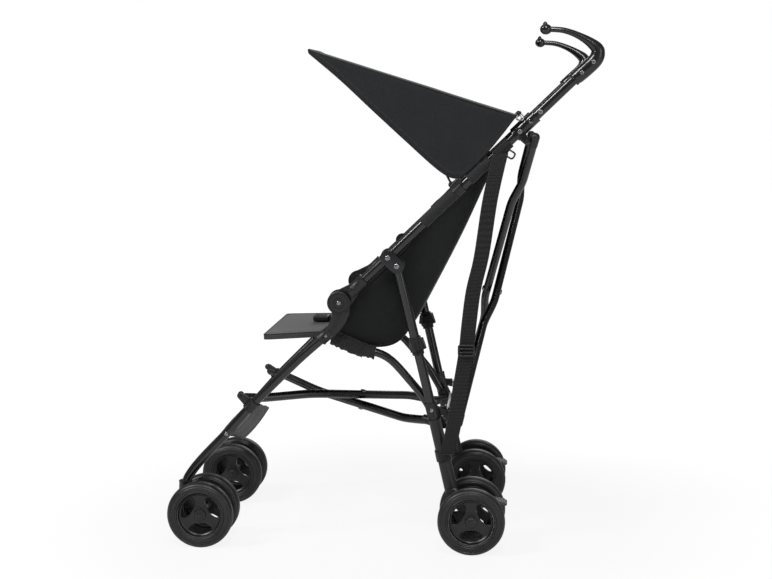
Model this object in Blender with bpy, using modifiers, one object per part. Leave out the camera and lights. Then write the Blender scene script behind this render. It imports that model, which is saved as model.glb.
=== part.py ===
"""Umbrella-fold buggy, open: two side frames that lean outwards, crossed bars, eight wheels, cloth seat and canopy.

Places in a side frame are (lean, y, q): lean is outward from the plane of its tubes, y is backward, q is up the plane.
"""

import math

import bmesh
import bpy
from mathutils import Vector

# Driving sizes, in metres
TUBE = 0.0095
BAR = 0.0083
SEAT_TUBE = 0.0083
GAP = 0.0003
BORE = TUBE + GAP
HALF_WIDTH = 0.142
LEAN = math.atan(0.09)
SHIFT_BACK = -0.0911
WHEEL_RADIUS = 0.0675
WHEEL_WIDTH = 0.029
HUB_FRONT = -0.275
HUB_REAR = 0.275
WHEEL_MIDDLE = 0.168
SPREAD_FRONT = 0.035
SPREAD_REAR = 0.047
COLLAR = 0.0125
PIN = 0.003
PIN_HOLE = PIN + GAP
HEAD = 0.0055
PLATE = 0.003
BALL = 0.0065
CLOTH = 0.004

# The upper tube's line, and the pivots, as (y, q) in the side frame
TUBE_MIDDLE = Vector((0.2564, 0.7381))
TUBE_SLOPE = math.atan(0.9612)
KNEE = Vector((0.011, 0.505))
LEG_TOP = Vector((0.127, 0.580))
LEG_END = Vector((0.2335, 0.1147))
FRONT_TOP = Vector((-0.0131, 0.4404))
SEAT_TUBE_FRONT = Vector((-0.0202, 0.4343))
SEAT_TUBE_BACK = Vector((0.2017, 0.2589))
REAR_BAR_TOP = Vector((0.3793, 0.8231))
REAR_BAR_FOOT = Vector((0.2374, 0.2713))
LOW_BAR_FRONT = Vector((-0.1955, 0.3087))
LOW_BAR_BACK = Vector((0.2162, 0.2476))
LOW_FRONT_LEAN = -0.009
LOW_BACK_LEAN = -0.040
LOW_BAR_DROP = 0.0070
LOW_BAR_CLEAR = 0.0110
REAR_BAR_SPACING = 0.013
REAR_BAR_CLEAR = 0.0105
SEAT_TUBE_LEAN = -0.0245
INNER_PLATE = -0.0126
CASTER = -0.313
CASTER_TOP = 0.1010
BLACK_METAL = (0.018, 0.018, 0.02, 1)
BLACK_PLASTIC = (0.025, 0.025, 0.027, 1)
BLACK_CLOTH = (0.022, 0.022, 0.025, 1)
GREY_PLASTIC = (0.09, 0.09, 0.095, 1)
BARE_STEEL = (0.35, 0.35, 0.36, 1)


# Scene and bookkeeping
for old in list(bpy.data.objects):
    bpy.data.objects.remove(old)
BUGGY = bpy.data.collections.new("Buggy")
HELPERS = bpy.data.collections.new("Helpers")
bpy.context.scene.collection.children.link(BUGGY)
bpy.context.scene.collection.children.link(HELPERS)


def empty(name, parent=None, at=(0, 0, 0), turn=(0, 0, 0)):
    made = bpy.data.objects.new(name, None)
    made.parent = parent
    made.location = at
    made.rotation_euler = turn
    HELPERS.objects.link(made)
    return made


ROOT = empty("Ground", at=(0, SHIFT_BACK, 0))
SIDES = {side: empty(f"Side{side}", ROOT, (side * HALF_WIDTH, 0, 0), (0, side * LEAN, 0)) for side in (1, -1)}
SUFFIX = {1: "_l", -1: "_r"}


def helper(mesh, parent, at=(0, 0, 0), turn=(0, 0, 0)):
    made = bpy.data.objects.new("shape", mesh)
    made.parent = parent
    made.location = at
    made.rotation_euler = turn
    made.hide_render = True
    made.display_type = "WIRE"
    HELPERS.objects.link(made)
    return made


def material(name, colour):
    made = bpy.data.materials.new(name)
    made.use_nodes = True
    shader = made.node_tree.nodes["Principled BSDF"]
    shader.inputs["Base Color"].default_value = colour
    shader.inputs["Roughness"].default_value = 0.5
    return made


def node(name, base, colour, add=(), cut=()):
    """Turns a helper shape into a named piece, with the other shapes joined to it or cut from it."""
    base.name = name
    base.data.name = name
    HELPERS.objects.unlink(base)
    BUGGY.objects.link(base)
    base.hide_render = False
    base.display_type = "TEXTURED"
    base.data.materials.append(material(name, colour))
    for others, operation in ((add, "UNION"), (cut, "DIFFERENCE")):
        for other in others:
            made = base.modifiers.new(operation.lower(), "BOOLEAN")
            made.operation = operation
            made.solver = "EXACT"
            made.object = other
    return base


# Shapes
def finish(bm, name="shape"):
    bmesh.ops.recalc_face_normals(bm, faces=bm.faces)
    for edge in bm.edges:
        edge.smooth = len(edge.link_faces) == 2 and edge.calc_face_angle(0) < math.radians(35)
    for face in bm.faces:
        face.smooth = True
    mesh = bpy.data.meshes.new(name)
    bm.to_mesh(mesh)
    bm.free()
    return mesh


def tube(parent, points, radius, at=(0, 0, 0), widths=None, corners=12):
    curve = bpy.data.curves.new("path", "CURVE")
    curve.dimensions = "3D"
    curve.bevel_depth = radius
    curve.bevel_resolution = (corners - 4) // 2
    curve.use_fill_caps = True
    line = curve.splines.new("POLY")
    line.points.add(len(points) - 1)
    for index, (target, place) in enumerate(zip(line.points, points)):
        target.co = (*(Vector(place) - Vector(at)), 1)
        target.radius = widths[index] if widths else 1
    holder = bpy.data.objects.new("path", curve)
    made = bpy.data.meshes.new_from_object(holder)
    bpy.data.objects.remove(holder)
    bm = bmesh.new()
    bm.from_mesh(made)
    bmesh.ops.remove_doubles(bm, verts=bm.verts, dist=1e-6)
    return helper(finish(bm), parent, at)


def rod(parent, start, end, radius, end_radius=None, at=(0, 0, 0), corners=12):
    start, end = Vector(start), Vector(end)
    along = end - start
    bm = bmesh.new()
    turned = along.to_track_quat("Z", "Y").to_matrix().to_4x4()
    turned.translation = (start + end) / 2 - Vector(at)
    tip = radius if end_radius is None else end_radius
    bmesh.ops.create_cone(
        bm, cap_ends=True, segments=corners, radius1=radius, radius2=tip, depth=along.length, matrix=turned
    )
    return helper(finish(bm), parent, at)


def ball(parent, centre, radius, at=(0, 0, 0)):
    bm = bmesh.new()
    bmesh.ops.create_uvsphere(bm, u_segments=10, v_segments=6, radius=radius)
    bmesh.ops.translate(bm, verts=bm.verts, vec=Vector(centre) - Vector(at))
    return helper(finish(bm), parent, at)


def box(parent, low, high, at=(0, 0, 0)):
    bm = bmesh.new()
    bmesh.ops.create_cube(bm, size=1)
    low, high = Vector(low), Vector(high)
    for vertex in bm.verts:
        middle = (low + high) / 2
        vertex.co = middle + Vector(c * s for c, s in zip(vertex.co, high - low)) - Vector(at)
    return helper(finish(bm), parent, at)


def plate(parent, outline, first, second, at=(0, 0, 0)):
    """A flat outline of (y, q) places, thickened along the first axis."""
    bm = bmesh.new()
    rings = []
    for across in (first, second):
        rings.append([bm.verts.new(Vector((across, y, q)) - Vector(at)) for y, q in outline])
    bm.faces.new(rings[0])
    bm.faces.new(rings[1])
    for index in range(len(outline)):
        after = (index + 1) % len(outline)
        bm.faces.new((rings[0][index], rings[0][after], rings[1][after], rings[1][index]))
    return helper(finish(bm), parent, at)


def brace(outline, front, back, at):
    """A flat outline of (x, z) places, thickened along y."""
    bm = bmesh.new()
    rings = []
    for y in (front, back):
        rings.append([bm.verts.new(Vector((x, y, z)) - Vector(at)) for x, z in outline])
    bm.faces.new(rings[0])
    bm.faces.new(rings[1])
    for index in range(len(outline)):
        after = (index + 1) % len(outline)
        bm.faces.new((rings[0][index], rings[0][after], rings[1][after], rings[1][index]))
    return helper(finish(bm), ROOT, at)


def link_outline(start, start_radius, end, end_radius, steps=5):
    """The outline round two circles, as for a flat lever."""
    start, end = Vector(start), Vector(end)
    heading = math.atan2(end.y - start.y, end.x - start.x)
    open_angle = math.acos((start_radius - end_radius) / (end - start).length)
    places = []
    for centre, radius, first, last in (
        (end, end_radius, -open_angle, open_angle),
        (start, start_radius, open_angle, 2 * math.pi - open_angle),
    ):
        for step in range(steps + 1):
            angle = heading + first + (last - first) * step / steps
            places.append((centre.x + radius * math.cos(angle), centre.y + radius * math.sin(angle)))
    return places


def sheet_of(parent, rows, thickness, colour, name, rounds=1, add=(), cut=()):
    """A cloth piece from rows of places, thickened and rounded."""
    bm = bmesh.new()
    grid = [[bm.verts.new(place) for place in row] for row in rows]
    for upper, lower in zip(grid, grid[1:]):
        for index in range(len(upper) - 1):
            bm.faces.new((upper[index], upper[index + 1], lower[index + 1], lower[index]))
    base = helper(finish(bm), parent)
    thick = base.modifiers.new("thickness", "SOLIDIFY")
    thick.thickness = thickness
    thick.offset = 0
    if rounds:
        soft = base.modifiers.new("soft", "SUBSURF")
        soft.levels = rounds
        soft.render_levels = rounds
    return node(name, base, colour, add, cut)


# Places
def local(side, lean, place):
    return Vector((side * lean, place[0], place[1]))


def world(side, lean, place):
    """The same place in the frame of the ground."""
    return Vector(
        (
            side * (HALF_WIDTH + place[1] * math.sin(LEAN) + lean * math.cos(LEAN)),
            place[0],
            place[1] * math.cos(LEAN) - lean * math.sin(LEAN),
        )
    )


def on_tube(y, above=0.0):
    """A place on the upper tube's line at this y, or that far square above it."""
    along = Vector((math.cos(TUBE_SLOPE), math.sin(TUBE_SLOPE)))
    place = TUBE_MIDDLE + along * (y - TUBE_MIDDLE.x) / along.x
    return place + Vector((-along.y, along.x)) * above


def on_leg(q):
    """A place on the rear leg's line at this q."""
    return LEG_TOP.lerp(LEG_END, (LEG_TOP.y - q) / (LEG_TOP.y - LEG_END.y))


def corners(side, leans, ys, qs):
    """The low and the high corner of a block between these leans, on either side."""
    across = sorted(side * lean for lean in leans)
    return Vector((across[0], min(ys), min(qs))), Vector((across[1], max(ys), max(qs)))


def between(first, second, share):
    return Vector(first).lerp(Vector(second), share)


def rivet(side, place, outer, inner, parent, head=HEAD, pin=PIN):
    """A pin across the side frame with a head at each end, as shapes to join."""
    rise = 0.0018
    return [
        rod(parent, local(side, outer, place), local(side, inner, place), pin),
        rod(parent, local(side, outer - 0.0005, place), local(side, outer + rise, place), head, head * 0.7),
        rod(parent, local(side, inner + 0.0005, place), local(side, inner - rise, place), head, head * 0.7),
    ]


def hole(side, place, parent, radius=PIN_HOLE, reach=0.05):
    return rod(parent, local(side, reach, place), local(side, -reach, place), radius)


# Upper frame
TUBE_RIVET = on_tube(0.1093)
FRONT_HEADING = (Vector((-0.0732, 0.3876)) - FRONT_TOP).normalized()


def upper_tube(side):
    parent = SIDES[side]
    start, end = on_tube(0.0385), on_tube(0.4800)
    base = tube(parent, [local(side, 0, start), local(side, 0, end)], TUBE)
    node("upper_tube" + SUFFIX[side], base, BLACK_METAL, cut=[hole(side, TUBE_RIVET, parent)])


def handle_grip(side):
    """Sleeve on the tube, bent forward into a tapered handle with a ball at its tip."""
    parent = SIDES[side]
    path = [
        (0.4690, 0.9420), (0.4850, 0.9560), (0.5021, 0.9718), (0.5094, 0.9822), (0.5112, 0.9925),
        (0.5090, 0.9985), (0.5035, 1.0043), (0.4919, 1.0128), (0.4768, 1.0213), (0.4618, 1.0278),
        (0.4458, 1.0325), (0.4300, 1.0342), (0.4130, 1.0348),
    ]
    widths = [
        0.0130, 0.0140, 0.0140, 0.0138, 0.0130, 0.0120, 0.0108, 0.0084, 0.0066, 0.0057, 0.0054, 0.0052, 0.0052,
    ]
    base = tube(parent, [local(side, 0, place) for place in path], 1.0, widths=widths)
    tip = ball(parent, local(side, 0, path[-1]), 0.0105)
    heads = [
        rod(parent, local(side, 0.012, place), local(side, 0.0152, place), 0.0042, 0.0034)
        for place in ((0.4812, 0.9540), (0.5025, 0.9740))
    ]
    bore = rod(parent, local(side, 0, on_tube(0.455)), local(side, 0, on_tube(0.4803)), BORE)
    node("handle_grip" + SUFFIX[side], base, BLACK_PLASTIC, add=[tip, *heads], cut=[bore])


def x_bracket_upper(side):
    """Collar on the upper tube with an arm down to the rear bar's ball."""
    parent = SIDES[side]
    start, end = on_tube(0.3560), on_tube(0.3960)
    base = rod(parent, local(side, 0, start), local(side, 0, end), COLLAR)
    boss = BALL + GAP
    arm = plate(parent, link_outline(on_tube(0.3640), 0.0100, REAR_BAR_TOP, 0.0062), side * 0.0082, side * 0.0120)
    seat = rod(parent, local(side, boss, REAR_BAR_TOP), local(side, 0.0090, REAR_BAR_TOP), 0.0042)
    head = rod(parent, local(side, 0.0115, REAR_BAR_TOP), local(side, 0.0138, REAR_BAR_TOP), 0.0050, 0.0036)
    screw = rod(parent, local(side, 0.0110, on_tube(0.3876)), local(side, 0.0145, on_tube(0.3876)), 0.0045, 0.0034)
    bore = rod(parent, local(side, 0, on_tube(0.34)), local(side, 0, on_tube(0.41)), BORE)
    node("x_bracket_upper" + SUFFIX[side], base, BLACK_PLASTIC, add=[arm, seat, head, screw], cut=[bore])


def side_bracket(side):
    """Two oval plates that carry the rear leg's pivot."""
    parent = SIDES[side]
    outline = link_outline(TUBE_RIVET, 0.0150, LEG_TOP, 0.0150)
    inner = plate(parent, outline, -side * (BORE + PLATE), -side * BORE)
    outer = plate(parent, outline, side * BORE, side * (BORE + PLATE))
    pins = [
        *rivet(side, TUBE_RIVET, BORE + PLATE, -BORE - PLATE, parent),
        *rivet(side, LEG_TOP, BORE + PLATE, -BORE - PLATE, parent),
    ]
    node("side_bracket" + SUFFIX[side], outer, BLACK_METAL, add=[pins[0], inner, *pins[1:]])


# Knee
KNEE_DISC = 0.0230
TONGUE = 0.0050
KNEE_HALF = 0.0118


def knee_upper(side):
    """Sleeve on the upper tube with the tongue of the knee."""
    parent = SIDES[side]
    base = rod(parent, local(side, 0, on_tube(0.0325)), local(side, 0, on_tube(0.0620)), COLLAR)
    tongue = plate(
        parent, link_outline(KNEE, KNEE_DISC - 0.0005, on_tube(0.0440), 0.0110, 8), -side * TONGUE, side * TONGUE
    )
    bore = rod(parent, local(side, 0, on_tube(0.0382)), local(side, 0, on_tube(0.08)), BORE)
    pivot = hole(side, KNEE, parent, 0.0043)
    node("knee_upper" + SUFFIX[side], base, BLACK_PLASTIC, add=[tongue], cut=[bore, pivot])


def knee_lower(side):
    """Two discs beside the tongue, and a curved housing down to the front leg."""
    parent = SIDES[side]
    at = local(side, 0, KNEE)
    top, low = FRONT_TOP - FRONT_HEADING * 0.020, FRONT_TOP + FRONT_HEADING * 0.020
    base = rod(parent, local(side, 0, top), local(side, 0, low), COLLAR, at=at)
    neck = [
        (0.0325, 0.4960), (0.0300, 0.4780), (0.0220, 0.4620), (0.0115, 0.4480), (0.0010, 0.4370),
        (-0.0185, 0.4460), (-0.0090, 0.4640), (0.0007, 0.4835),
    ]
    joined = []
    for sign in (1, -1):
        near, far = sign * (TONGUE + GAP), sign * KNEE_HALF
        joined.append(rod(parent, local(side, near, KNEE), local(side, far, KNEE), KNEE_DISC, corners=20))
        joined.append(plate(parent, neck, side * near, side * far))
    block = [
        (0.0240, 0.4660), (0.0220, 0.4620), (0.0115, 0.4480), (0.0010, 0.4370), (-0.0185, 0.4460), (-0.0080, 0.4660),
    ]
    joined.append(plate(parent, block, -side * KNEE_HALF, side * KNEE_HALF))
    joined.extend(rivet(side, KNEE, KNEE_HALF, -KNEE_HALF, parent, 0.0060, 0.0040))
    bore = rod(
        parent, local(side, 0, FRONT_TOP - FRONT_HEADING * 0.0163), local(side, 0, FRONT_TOP + FRONT_HEADING * 0.03), BORE
    )
    node("knee_lower" + SUFFIX[side], base, BLACK_PLASTIC, add=joined, cut=[bore])


# Front leg and caster
FRONT_PATH = [
    (0, -0.0732, 0.3876), (0, -0.1697, 0.2917), (0.0010, -0.2291, 0.2246), (0.0030, -0.2560, 0.1975),
    (0.0055, -0.2790, 0.1735), (0.0090, -0.2970, 0.1520), (0.0125, -0.3090, 0.1340), (0.0153, -0.3130, 0.1150),
]


def front_leg(side):
    parent = SIDES[side]
    at = local(side, 0, KNEE)
    path = [(0, *(FRONT_TOP - FRONT_HEADING * 0.016)), *FRONT_PATH]
    points = [local(side, lean, (y, q)) for lean, y, q in path]
    base = tube(parent, points, TUBE, at=at)
    node("front_leg" + SUFFIX[side], base, BLACK_METAL)


def leg_bore(side, first, last):
    """The room that the front leg takes along part of its path."""
    return tube(SIDES[side], [local(side, lean, (y, q)) for lean, y, q in FRONT_PATH[first:last]], BORE)


def front_bracket(side):
    """Collar on the front leg that carries the low bar's ball."""
    parent = SIDES[side]
    start, end = Vector(FRONT_PATH[1][1:]), Vector(FRONT_PATH[2][1:])
    heading = (end - start).normalized()
    foot = start + heading * (LOW_BAR_FRONT - start).dot(heading)
    at = local(side, 0, KNEE)
    base = rod(parent, local(side, 0, foot - heading * 0.012), local(side, 0, foot + heading * 0.012), COLLAR, at=at)
    reach = LOW_FRONT_LEAN + BALL + GAP
    arm = plate(parent, link_outline(foot, 0.0110, LOW_BAR_FRONT, 0.0062), side * reach, side * (reach + 0.005))
    head = rod(
        parent, local(side, reach + 0.004, LOW_BAR_FRONT), local(side, reach + 0.0075, LOW_BAR_FRONT), 0.0045, 0.0034
    )
    bore = leg_bore(side, 0, 3)
    node("front_bracket" + SUFFIX[side], base, BLACK_PLASTIC, add=[arm, head], cut=[bore])


def caster_housing(side):
    """Plastic end of the front leg with the upright socket of the caster."""
    centre = side * WHEEL_MIDDLE
    base = rod(ROOT, (centre, CASTER, CASTER_TOP), (centre, CASTER, 0.1290), 0.0130, 0.0120)
    pin_bore = rod(ROOT, (centre, CASTER, CASTER_TOP - 0.01), (centre, CASTER, CASTER_TOP + 0.0105), 0.0063)
    node("caster_housing" + SUFFIX[side], base, BLACK_PLASTIC, cut=[leg_bore(side, 3, 8), pin_bore])


def caster_fork(side):
    """Swivelling arm with the axle of the two front wheels."""
    centre = side * WHEEL_MIDDLE
    crown = CASTER_TOP - GAP
    at = (centre, CASTER, crown)
    base = rod(ROOT, (centre, CASTER, crown - 0.0065), (centre, CASTER, crown), 0.0130, at=at)
    pin = rod(ROOT, (centre, CASTER, crown - 0.003), (centre, CASTER, crown + 0.0100), 0.0060)
    outline = [
        (-0.3255, 0.0955), (-0.3005, 0.0955), (-0.2830, 0.0880), (-0.2660, 0.0720), (-0.2680, 0.0600),
        (-0.2800, 0.0580), (-0.2980, 0.0680), (-0.3180, 0.0800),
    ]
    arm = plate(ROOT, outline, centre - 0.009, centre + 0.009)
    hub = (HUB_FRONT, WHEEL_RADIUS)
    inner = SPREAD_FRONT - WHEEL_WIDTH / 2 - 0.0006
    barrel = rod(ROOT, (centre - inner, *hub), (centre + inner, *hub), 0.0100)
    reach = SPREAD_FRONT + 0.0035
    axle = rod(ROOT, (centre - reach, *hub), (centre + reach, *hub), 0.0040)
    node("caster_fork" + SUFFIX[side], base, BLACK_PLASTIC, add=[pin, arm, barrel, axle])


# Rear leg
def rear_leg(side):
    parent = SIDES[side]
    at = local(side, 0, LEG_TOP)
    base = tube(parent, [local(side, 0, LEG_TOP), local(side, 0, on_leg(0.2000))], TUBE, at=at)
    eye = rod(parent, local(side, TUBE, LEG_TOP), local(side, -TUBE, LEG_TOP), TUBE)
    node("rear_leg" + SUFFIX[side], base, BLACK_METAL, add=[eye], cut=[hole(side, LEG_TOP, parent)])


def rear_axle_housing(side):
    """Plastic sleeve over the foot of the rear leg, with the axle and the brake's lug."""
    parent = SIDES[side]
    centre = side * WHEEL_MIDDLE
    sleeve = rod(parent, local(side, 0, on_leg(0.2660)), local(side, 0, on_leg(0.1050)), 0.0120, 0.0138)
    web = plate(
        ROOT, link_outline(LEG_END + Vector((0.001, -0.004)), 0.0132, (HUB_REAR, WHEEL_RADIUS), 0.0110),
        centre - side * 0.020, centre + side * 0.012,
    )
    hub = (HUB_REAR, WHEEL_RADIUS)
    inner = SPREAD_REAR - WHEEL_WIDTH / 2 - 0.0006
    barrel = rod(ROOT, (centre - inner, *hub), (centre + inner, *hub), 0.0110)
    reach = SPREAD_REAR + 0.0035
    axle = rod(ROOT, (centre - reach, *hub), (centre + reach, *hub), 0.0040)
    lug = plate(ROOT, link_outline((0.2600, 0.0880), 0.0100, PEDAL_PIVOT, 0.0060), centre - 0.008, centre + 0.008)
    pivot = rod(ROOT, (centre - 0.03, *PEDAL_PIVOT), (centre + 0.03, *PEDAL_PIVOT), 0.0028)
    bore = rod(parent, local(side, 0, on_leg(0.30)), local(side, 0, on_leg(0.1997)), BORE)
    node("rear_axle_housing" + SUFFIX[side], sleeve, BLACK_PLASTIC, add=[web, barrel, axle, lug], cut=[bore, pivot])


PEDAL_PIVOT = (0.2920, 0.0950)


def brake_pedal(side):
    """Lever behind the axle, pressed down to lock the rear wheels."""
    centre = side * WHEEL_MIDDLE
    at = (centre, *PEDAL_PIVOT)
    blade = [(0.3000, 0.0985), (0.3160, 0.1030), (0.3400, 0.0985), (0.3460, 0.0950), (0.3440, 0.0925), (0.3000, 0.0925)]
    base = plate(ROOT, blade, centre - 0.017, centre + 0.017, at=at)
    joined = [rod(ROOT, (centre - 0.014, *PEDAL_PIVOT), (centre + 0.014, *PEDAL_PIVOT), 0.0025)]
    for sign in (1, -1):
        ear = link_outline(PEDAL_PIVOT, 0.0058, (0.3040, 0.0962), 0.0036)
        joined.append(plate(ROOT, ear, centre + sign * 0.0083, centre + sign * 0.0130))
    node("brake_pedal" + SUFFIX[side], base, GREY_PLASTIC, add=joined)


BRACKET_ON_LEG = 0.2840
LOCK_PIVOT = Vector((0.2260, 0.2800))
LOCK_LEAN = -0.0195
LOCK_GAP = 0.0016


def rear_leg_bracket(side):
    """Collar on the rear leg that carries the seat tube, the lock link and the feet of the crossed bars."""
    parent = SIDES[side]
    base = rod(parent, local(side, 0, on_leg(0.3000)), local(side, 0, on_leg(0.2700)), COLLAR)
    centre = on_leg(BRACKET_ON_LEG)
    step = INNER_PLATE - PLATE
    inner = plate(parent, link_outline(centre, 0.0100, LOW_BAR_BACK, 0.0070), side * step, side * INNER_PLATE)
    low, high = on_leg(0.2985), on_leg(0.2720)
    block = box(parent, *corners(side, (step + 0.0006, -0.0060), (high.x - 0.0103, low.x + 0.0093), (high.y, low.y)))
    far_lean = LOW_BACK_LEAN + BALL + 0.0013
    seat = rod(parent, local(side, step + 0.001, LOW_BAR_BACK), local(side, far_lean, LOW_BAR_BACK), 0.0045)
    ball_seat = REAR_BAR_FOOT - Vector((0.0030, 0))
    arm = plate(parent, link_outline(centre, 0.0090, ball_seat, 0.0046), side * -0.0088, side * -0.0122)
    boss = rod(parent, local(side, -BALL - GAP, REAR_BAR_FOOT), local(side, -0.0096, REAR_BAR_FOOT), 0.0036)
    stud_end = SEAT_TUBE_LEAN - SEAT_TUBE - 0.0008
    stud = rod(parent, local(side, step + 0.001, SEAT_TUBE_BACK), local(side, stud_end - 0.001, SEAT_TUBE_BACK), PIN)
    cap = rod(parent, local(side, stud_end, SEAT_TUBE_BACK), local(side, stud_end - 0.002, SEAT_TUBE_BACK), HEAD, 0.0040)
    rib = box(parent, *corners(side, (INNER_PLATE - 0.0004, step + 0.0004), (0.1985, 0.2225), (0.2725, 0.2875)))
    tab = box(parent, *corners(side, (INNER_PLATE - 0.0006, -0.0270), (0.2188, 0.2224), (0.2720, 0.2880)))
    pin_start = Vector((side * LOCK_LEAN, 0.2205, LOCK_PIVOT.y))
    pin_end = Vector((side * LOCK_LEAN, 0.2268, LOCK_PIVOT.y))
    lock_pin = rod(parent, pin_start, pin_end, 0.0025)
    lock_cap = rod(parent, pin_end - Vector((0, 0.0005, 0)), pin_end + Vector((0, 0.0015, 0)), 0.0045, 0.0036)
    bore = rod(parent, local(side, 0, on_leg(0.34)), local(side, 0, on_leg(0.24)), BORE)
    joined = [inner, block, seat, arm, boss, rib, tab]
    made = node("rear_leg_bracket" + SUFFIX[side], base, BLACK_PLASTIC, add=joined, cut=[bore])
    for extra in (stud, cap, lock_pin, lock_cap):
        union = made.modifiers.new("union", "BOOLEAN")
        union.operation = "UNION"
        union.solver = "EXACT"
        union.object = extra


def seat_tube(side):
    """Bent tube that carries the edge of the seat."""
    parent = SIDES[side]
    at = local(side, SEAT_TUBE_LEAN, SEAT_TUBE_BACK)
    path = [
        SEAT_TUBE_FRONT, (0.0567, 0.4010), (0.0800, 0.3965), (0.0990, 0.3890), (0.1150, 0.3770),
        (0.1300, 0.3605), (0.1724, 0.3090), SEAT_TUBE_BACK,
    ]
    base = tube(parent, [local(side, SEAT_TUBE_LEAN, place) for place in path], SEAT_TUBE, at=at)
    eyes = []
    for place in (SEAT_TUBE_FRONT, SEAT_TUBE_BACK):
        outer, inner = SEAT_TUBE_LEAN + SEAT_TUBE, SEAT_TUBE_LEAN - SEAT_TUBE
        eyes.append(rod(parent, local(side, outer, place), local(side, inner, place), SEAT_TUBE))
    washer = rod(
        parent, local(side, SEAT_TUBE_LEAN, SEAT_TUBE_FRONT), local(side, -0.0141, SEAT_TUBE_FRONT), 0.0050
    )
    head = rod(
        parent, local(side, SEAT_TUBE_LEAN, SEAT_TUBE_FRONT), local(side, -0.0345, SEAT_TUBE_FRONT), HEAD
    )
    bore = hole(side, SEAT_TUBE_BACK, parent)
    node("seat_tube" + SUFFIX[side], base, BLACK_METAL, add=[*eyes, washer, head], cut=[bore])


def lock_link(side):
    """Half of the flat brace between the rear legs; the halves lap at the middle."""
    pivot = world(side, LOCK_LEAN, LOCK_PIVOT)
    front, back = 0.2228, 0.2258
    behind = back + LOCK_GAP
    at = (pivot.x, front, pivot.z)
    high = 0.0055
    lap = 0.0085
    step = side * (abs(pivot.x) - 0.016)
    tip = -lap if side == 1 else step
    outline = [
        (tip, pivot.z - high), (pivot.x + side * 0.0026, pivot.z - high), (pivot.x + side * 0.0052, pivot.z - 0.0028),
        (pivot.x + side * 0.0052, pivot.z + 0.0028), (pivot.x + side * 0.0026, pivot.z + high), (tip, pivot.z + high),
    ]
    base = brace(outline, front, back, at)
    if side == 1:
        joined = [rod(ROOT, (0, front + 0.001, pivot.z), (0, front - 0.0018, pivot.z), 0.0045, 0.0036)]
    else:
        crank = box(ROOT, (step - 0.006, front, pivot.z - high), (step, behind + 0.003, pivot.z + high))
        arm = box(ROOT, (step - 0.006, behind, pivot.z - high), (lap, behind + 0.003, pivot.z + high))
        joined = [crank, arm]
    pin_hole = rod(ROOT, (pivot.x, 0.20, pivot.z), (pivot.x, 0.25, pivot.z), 0.0028)
    node("lock_link" + SUFFIX[side], base, BARE_STEEL, add=joined, cut=[pin_hole])


# Crossed bars
def bar_path(top, foot, spacing, moved, lengthen):
    """Places along a bar from pivot to pivot, held off the pivots' line by spacing, and by moved more in the middle."""
    ends = (foot - top).normalized()
    places = [top - ends * lengthen[0] + spacing]
    for share, weight in ((0.14, 0), (0.18, 0.5), (0.22, 1), (0.60, 1), (0.64, 0.5), (0.68, 0)):
        places.append(top.lerp(foot, share) + spacing + moved * weight)
    places.append(foot + ends * lengthen[1] + spacing)
    return places


REAR_NORMAL = Vector((0, 0.968, -0.25)).normalized()


def rear_x_bar(side):
    """Long crossed bar behind the seat, from the top of one side to the rear leg of the other."""
    top, foot = world(side, 0, REAR_BAR_TOP), world(-side, 0, REAR_BAR_FOOT)
    spacing = REAR_NORMAL * REAR_BAR_SPACING
    path = bar_path(top, foot, spacing, REAR_NORMAL * (-REAR_BAR_CLEAR * side), (0.014, 0.012))
    base = tube(ROOT, path, BAR, at=top)
    joined = []
    for pivot in (top, foot):
        joined.append(ball(ROOT, pivot, BALL))
        joined.append(rod(ROOT, pivot, pivot + spacing, 0.0048))
    for place in (path[0], path[-1]):
        joined.append(ball(ROOT, place, BAR * 1.08))
    crossing = top.lerp(foot, top.x / (top.x - foot.x)) + spacing
    middle = crossing - REAR_NORMAL * REAR_BAR_CLEAR * side
    outer = middle - REAR_NORMAL * side * (BAR + 0.0035)
    inner = crossing - REAR_NORMAL * side * 0.0002
    joined.append(rod(ROOT, outer, inner, 0.0045))
    joined.append(rod(ROOT, outer, outer + REAR_NORMAL * side * 0.005, 0.0070, 0.0085))
    node("rear_x_bar" + SUFFIX[side], base, BLACK_METAL, add=joined)


def bottom_x_bar(side):
    """Crossed bar under the seat, from the front leg of one side to the rear leg of the other."""
    front, back = world(side, LOW_FRONT_LEAN, LOW_BAR_FRONT), world(-side, LOW_BACK_LEAN, LOW_BAR_BACK)
    heading = (back - front).normalized()
    across = Vector((1, 0, 0))
    lift = heading.cross(across).normalized()
    lift = lift if lift.z > 0 else -lift
    rise = lift * LOW_BAR_CLEAR * side
    drop = lift * -LOW_BAR_DROP
    path = [front + heading * 0.012 + drop]
    for share, weight in ((0.10, 0), (0.21, 0.5), (0.32, 1), (0.80, 1), (0.865, 0.5), (0.925, 0)):
        path.append(front.lerp(back, share) + rise * weight + drop)
    path.append(back - heading * 0.030 + drop)
    base = tube(ROOT, path, BAR, at=front)
    joined = []
    for pivot, toward in ((front, path[0]), (back, path[-1])):
        joined.append(ball(ROOT, pivot, BALL))
        joined.append(rod(ROOT, pivot, toward + (toward - pivot).normalized() * 0.002, 0.0040, 0.0048))
    crossing = front.lerp(back, front.x / (front.x - back.x)) + drop
    outer = crossing + rise + lift * side * (BAR + 0.003)
    joined.append(rod(ROOT, outer, crossing + lift * side * 0.0002, 0.0040))
    joined.append(rod(ROOT, outer, outer - lift * side * 0.005, 0.0060, 0.0075))
    node("bottom_x_bar" + SUFFIX[side], base, BLACK_METAL, add=joined)


# Wheels
WINDOW = [
    (-26, 0.0435), (0, 0.0445), (26, 0.0435), (37, 0.0365), (30, 0.0275), (0, 0.0225), (-30, 0.0275), (-37, 0.0365),
]


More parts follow.
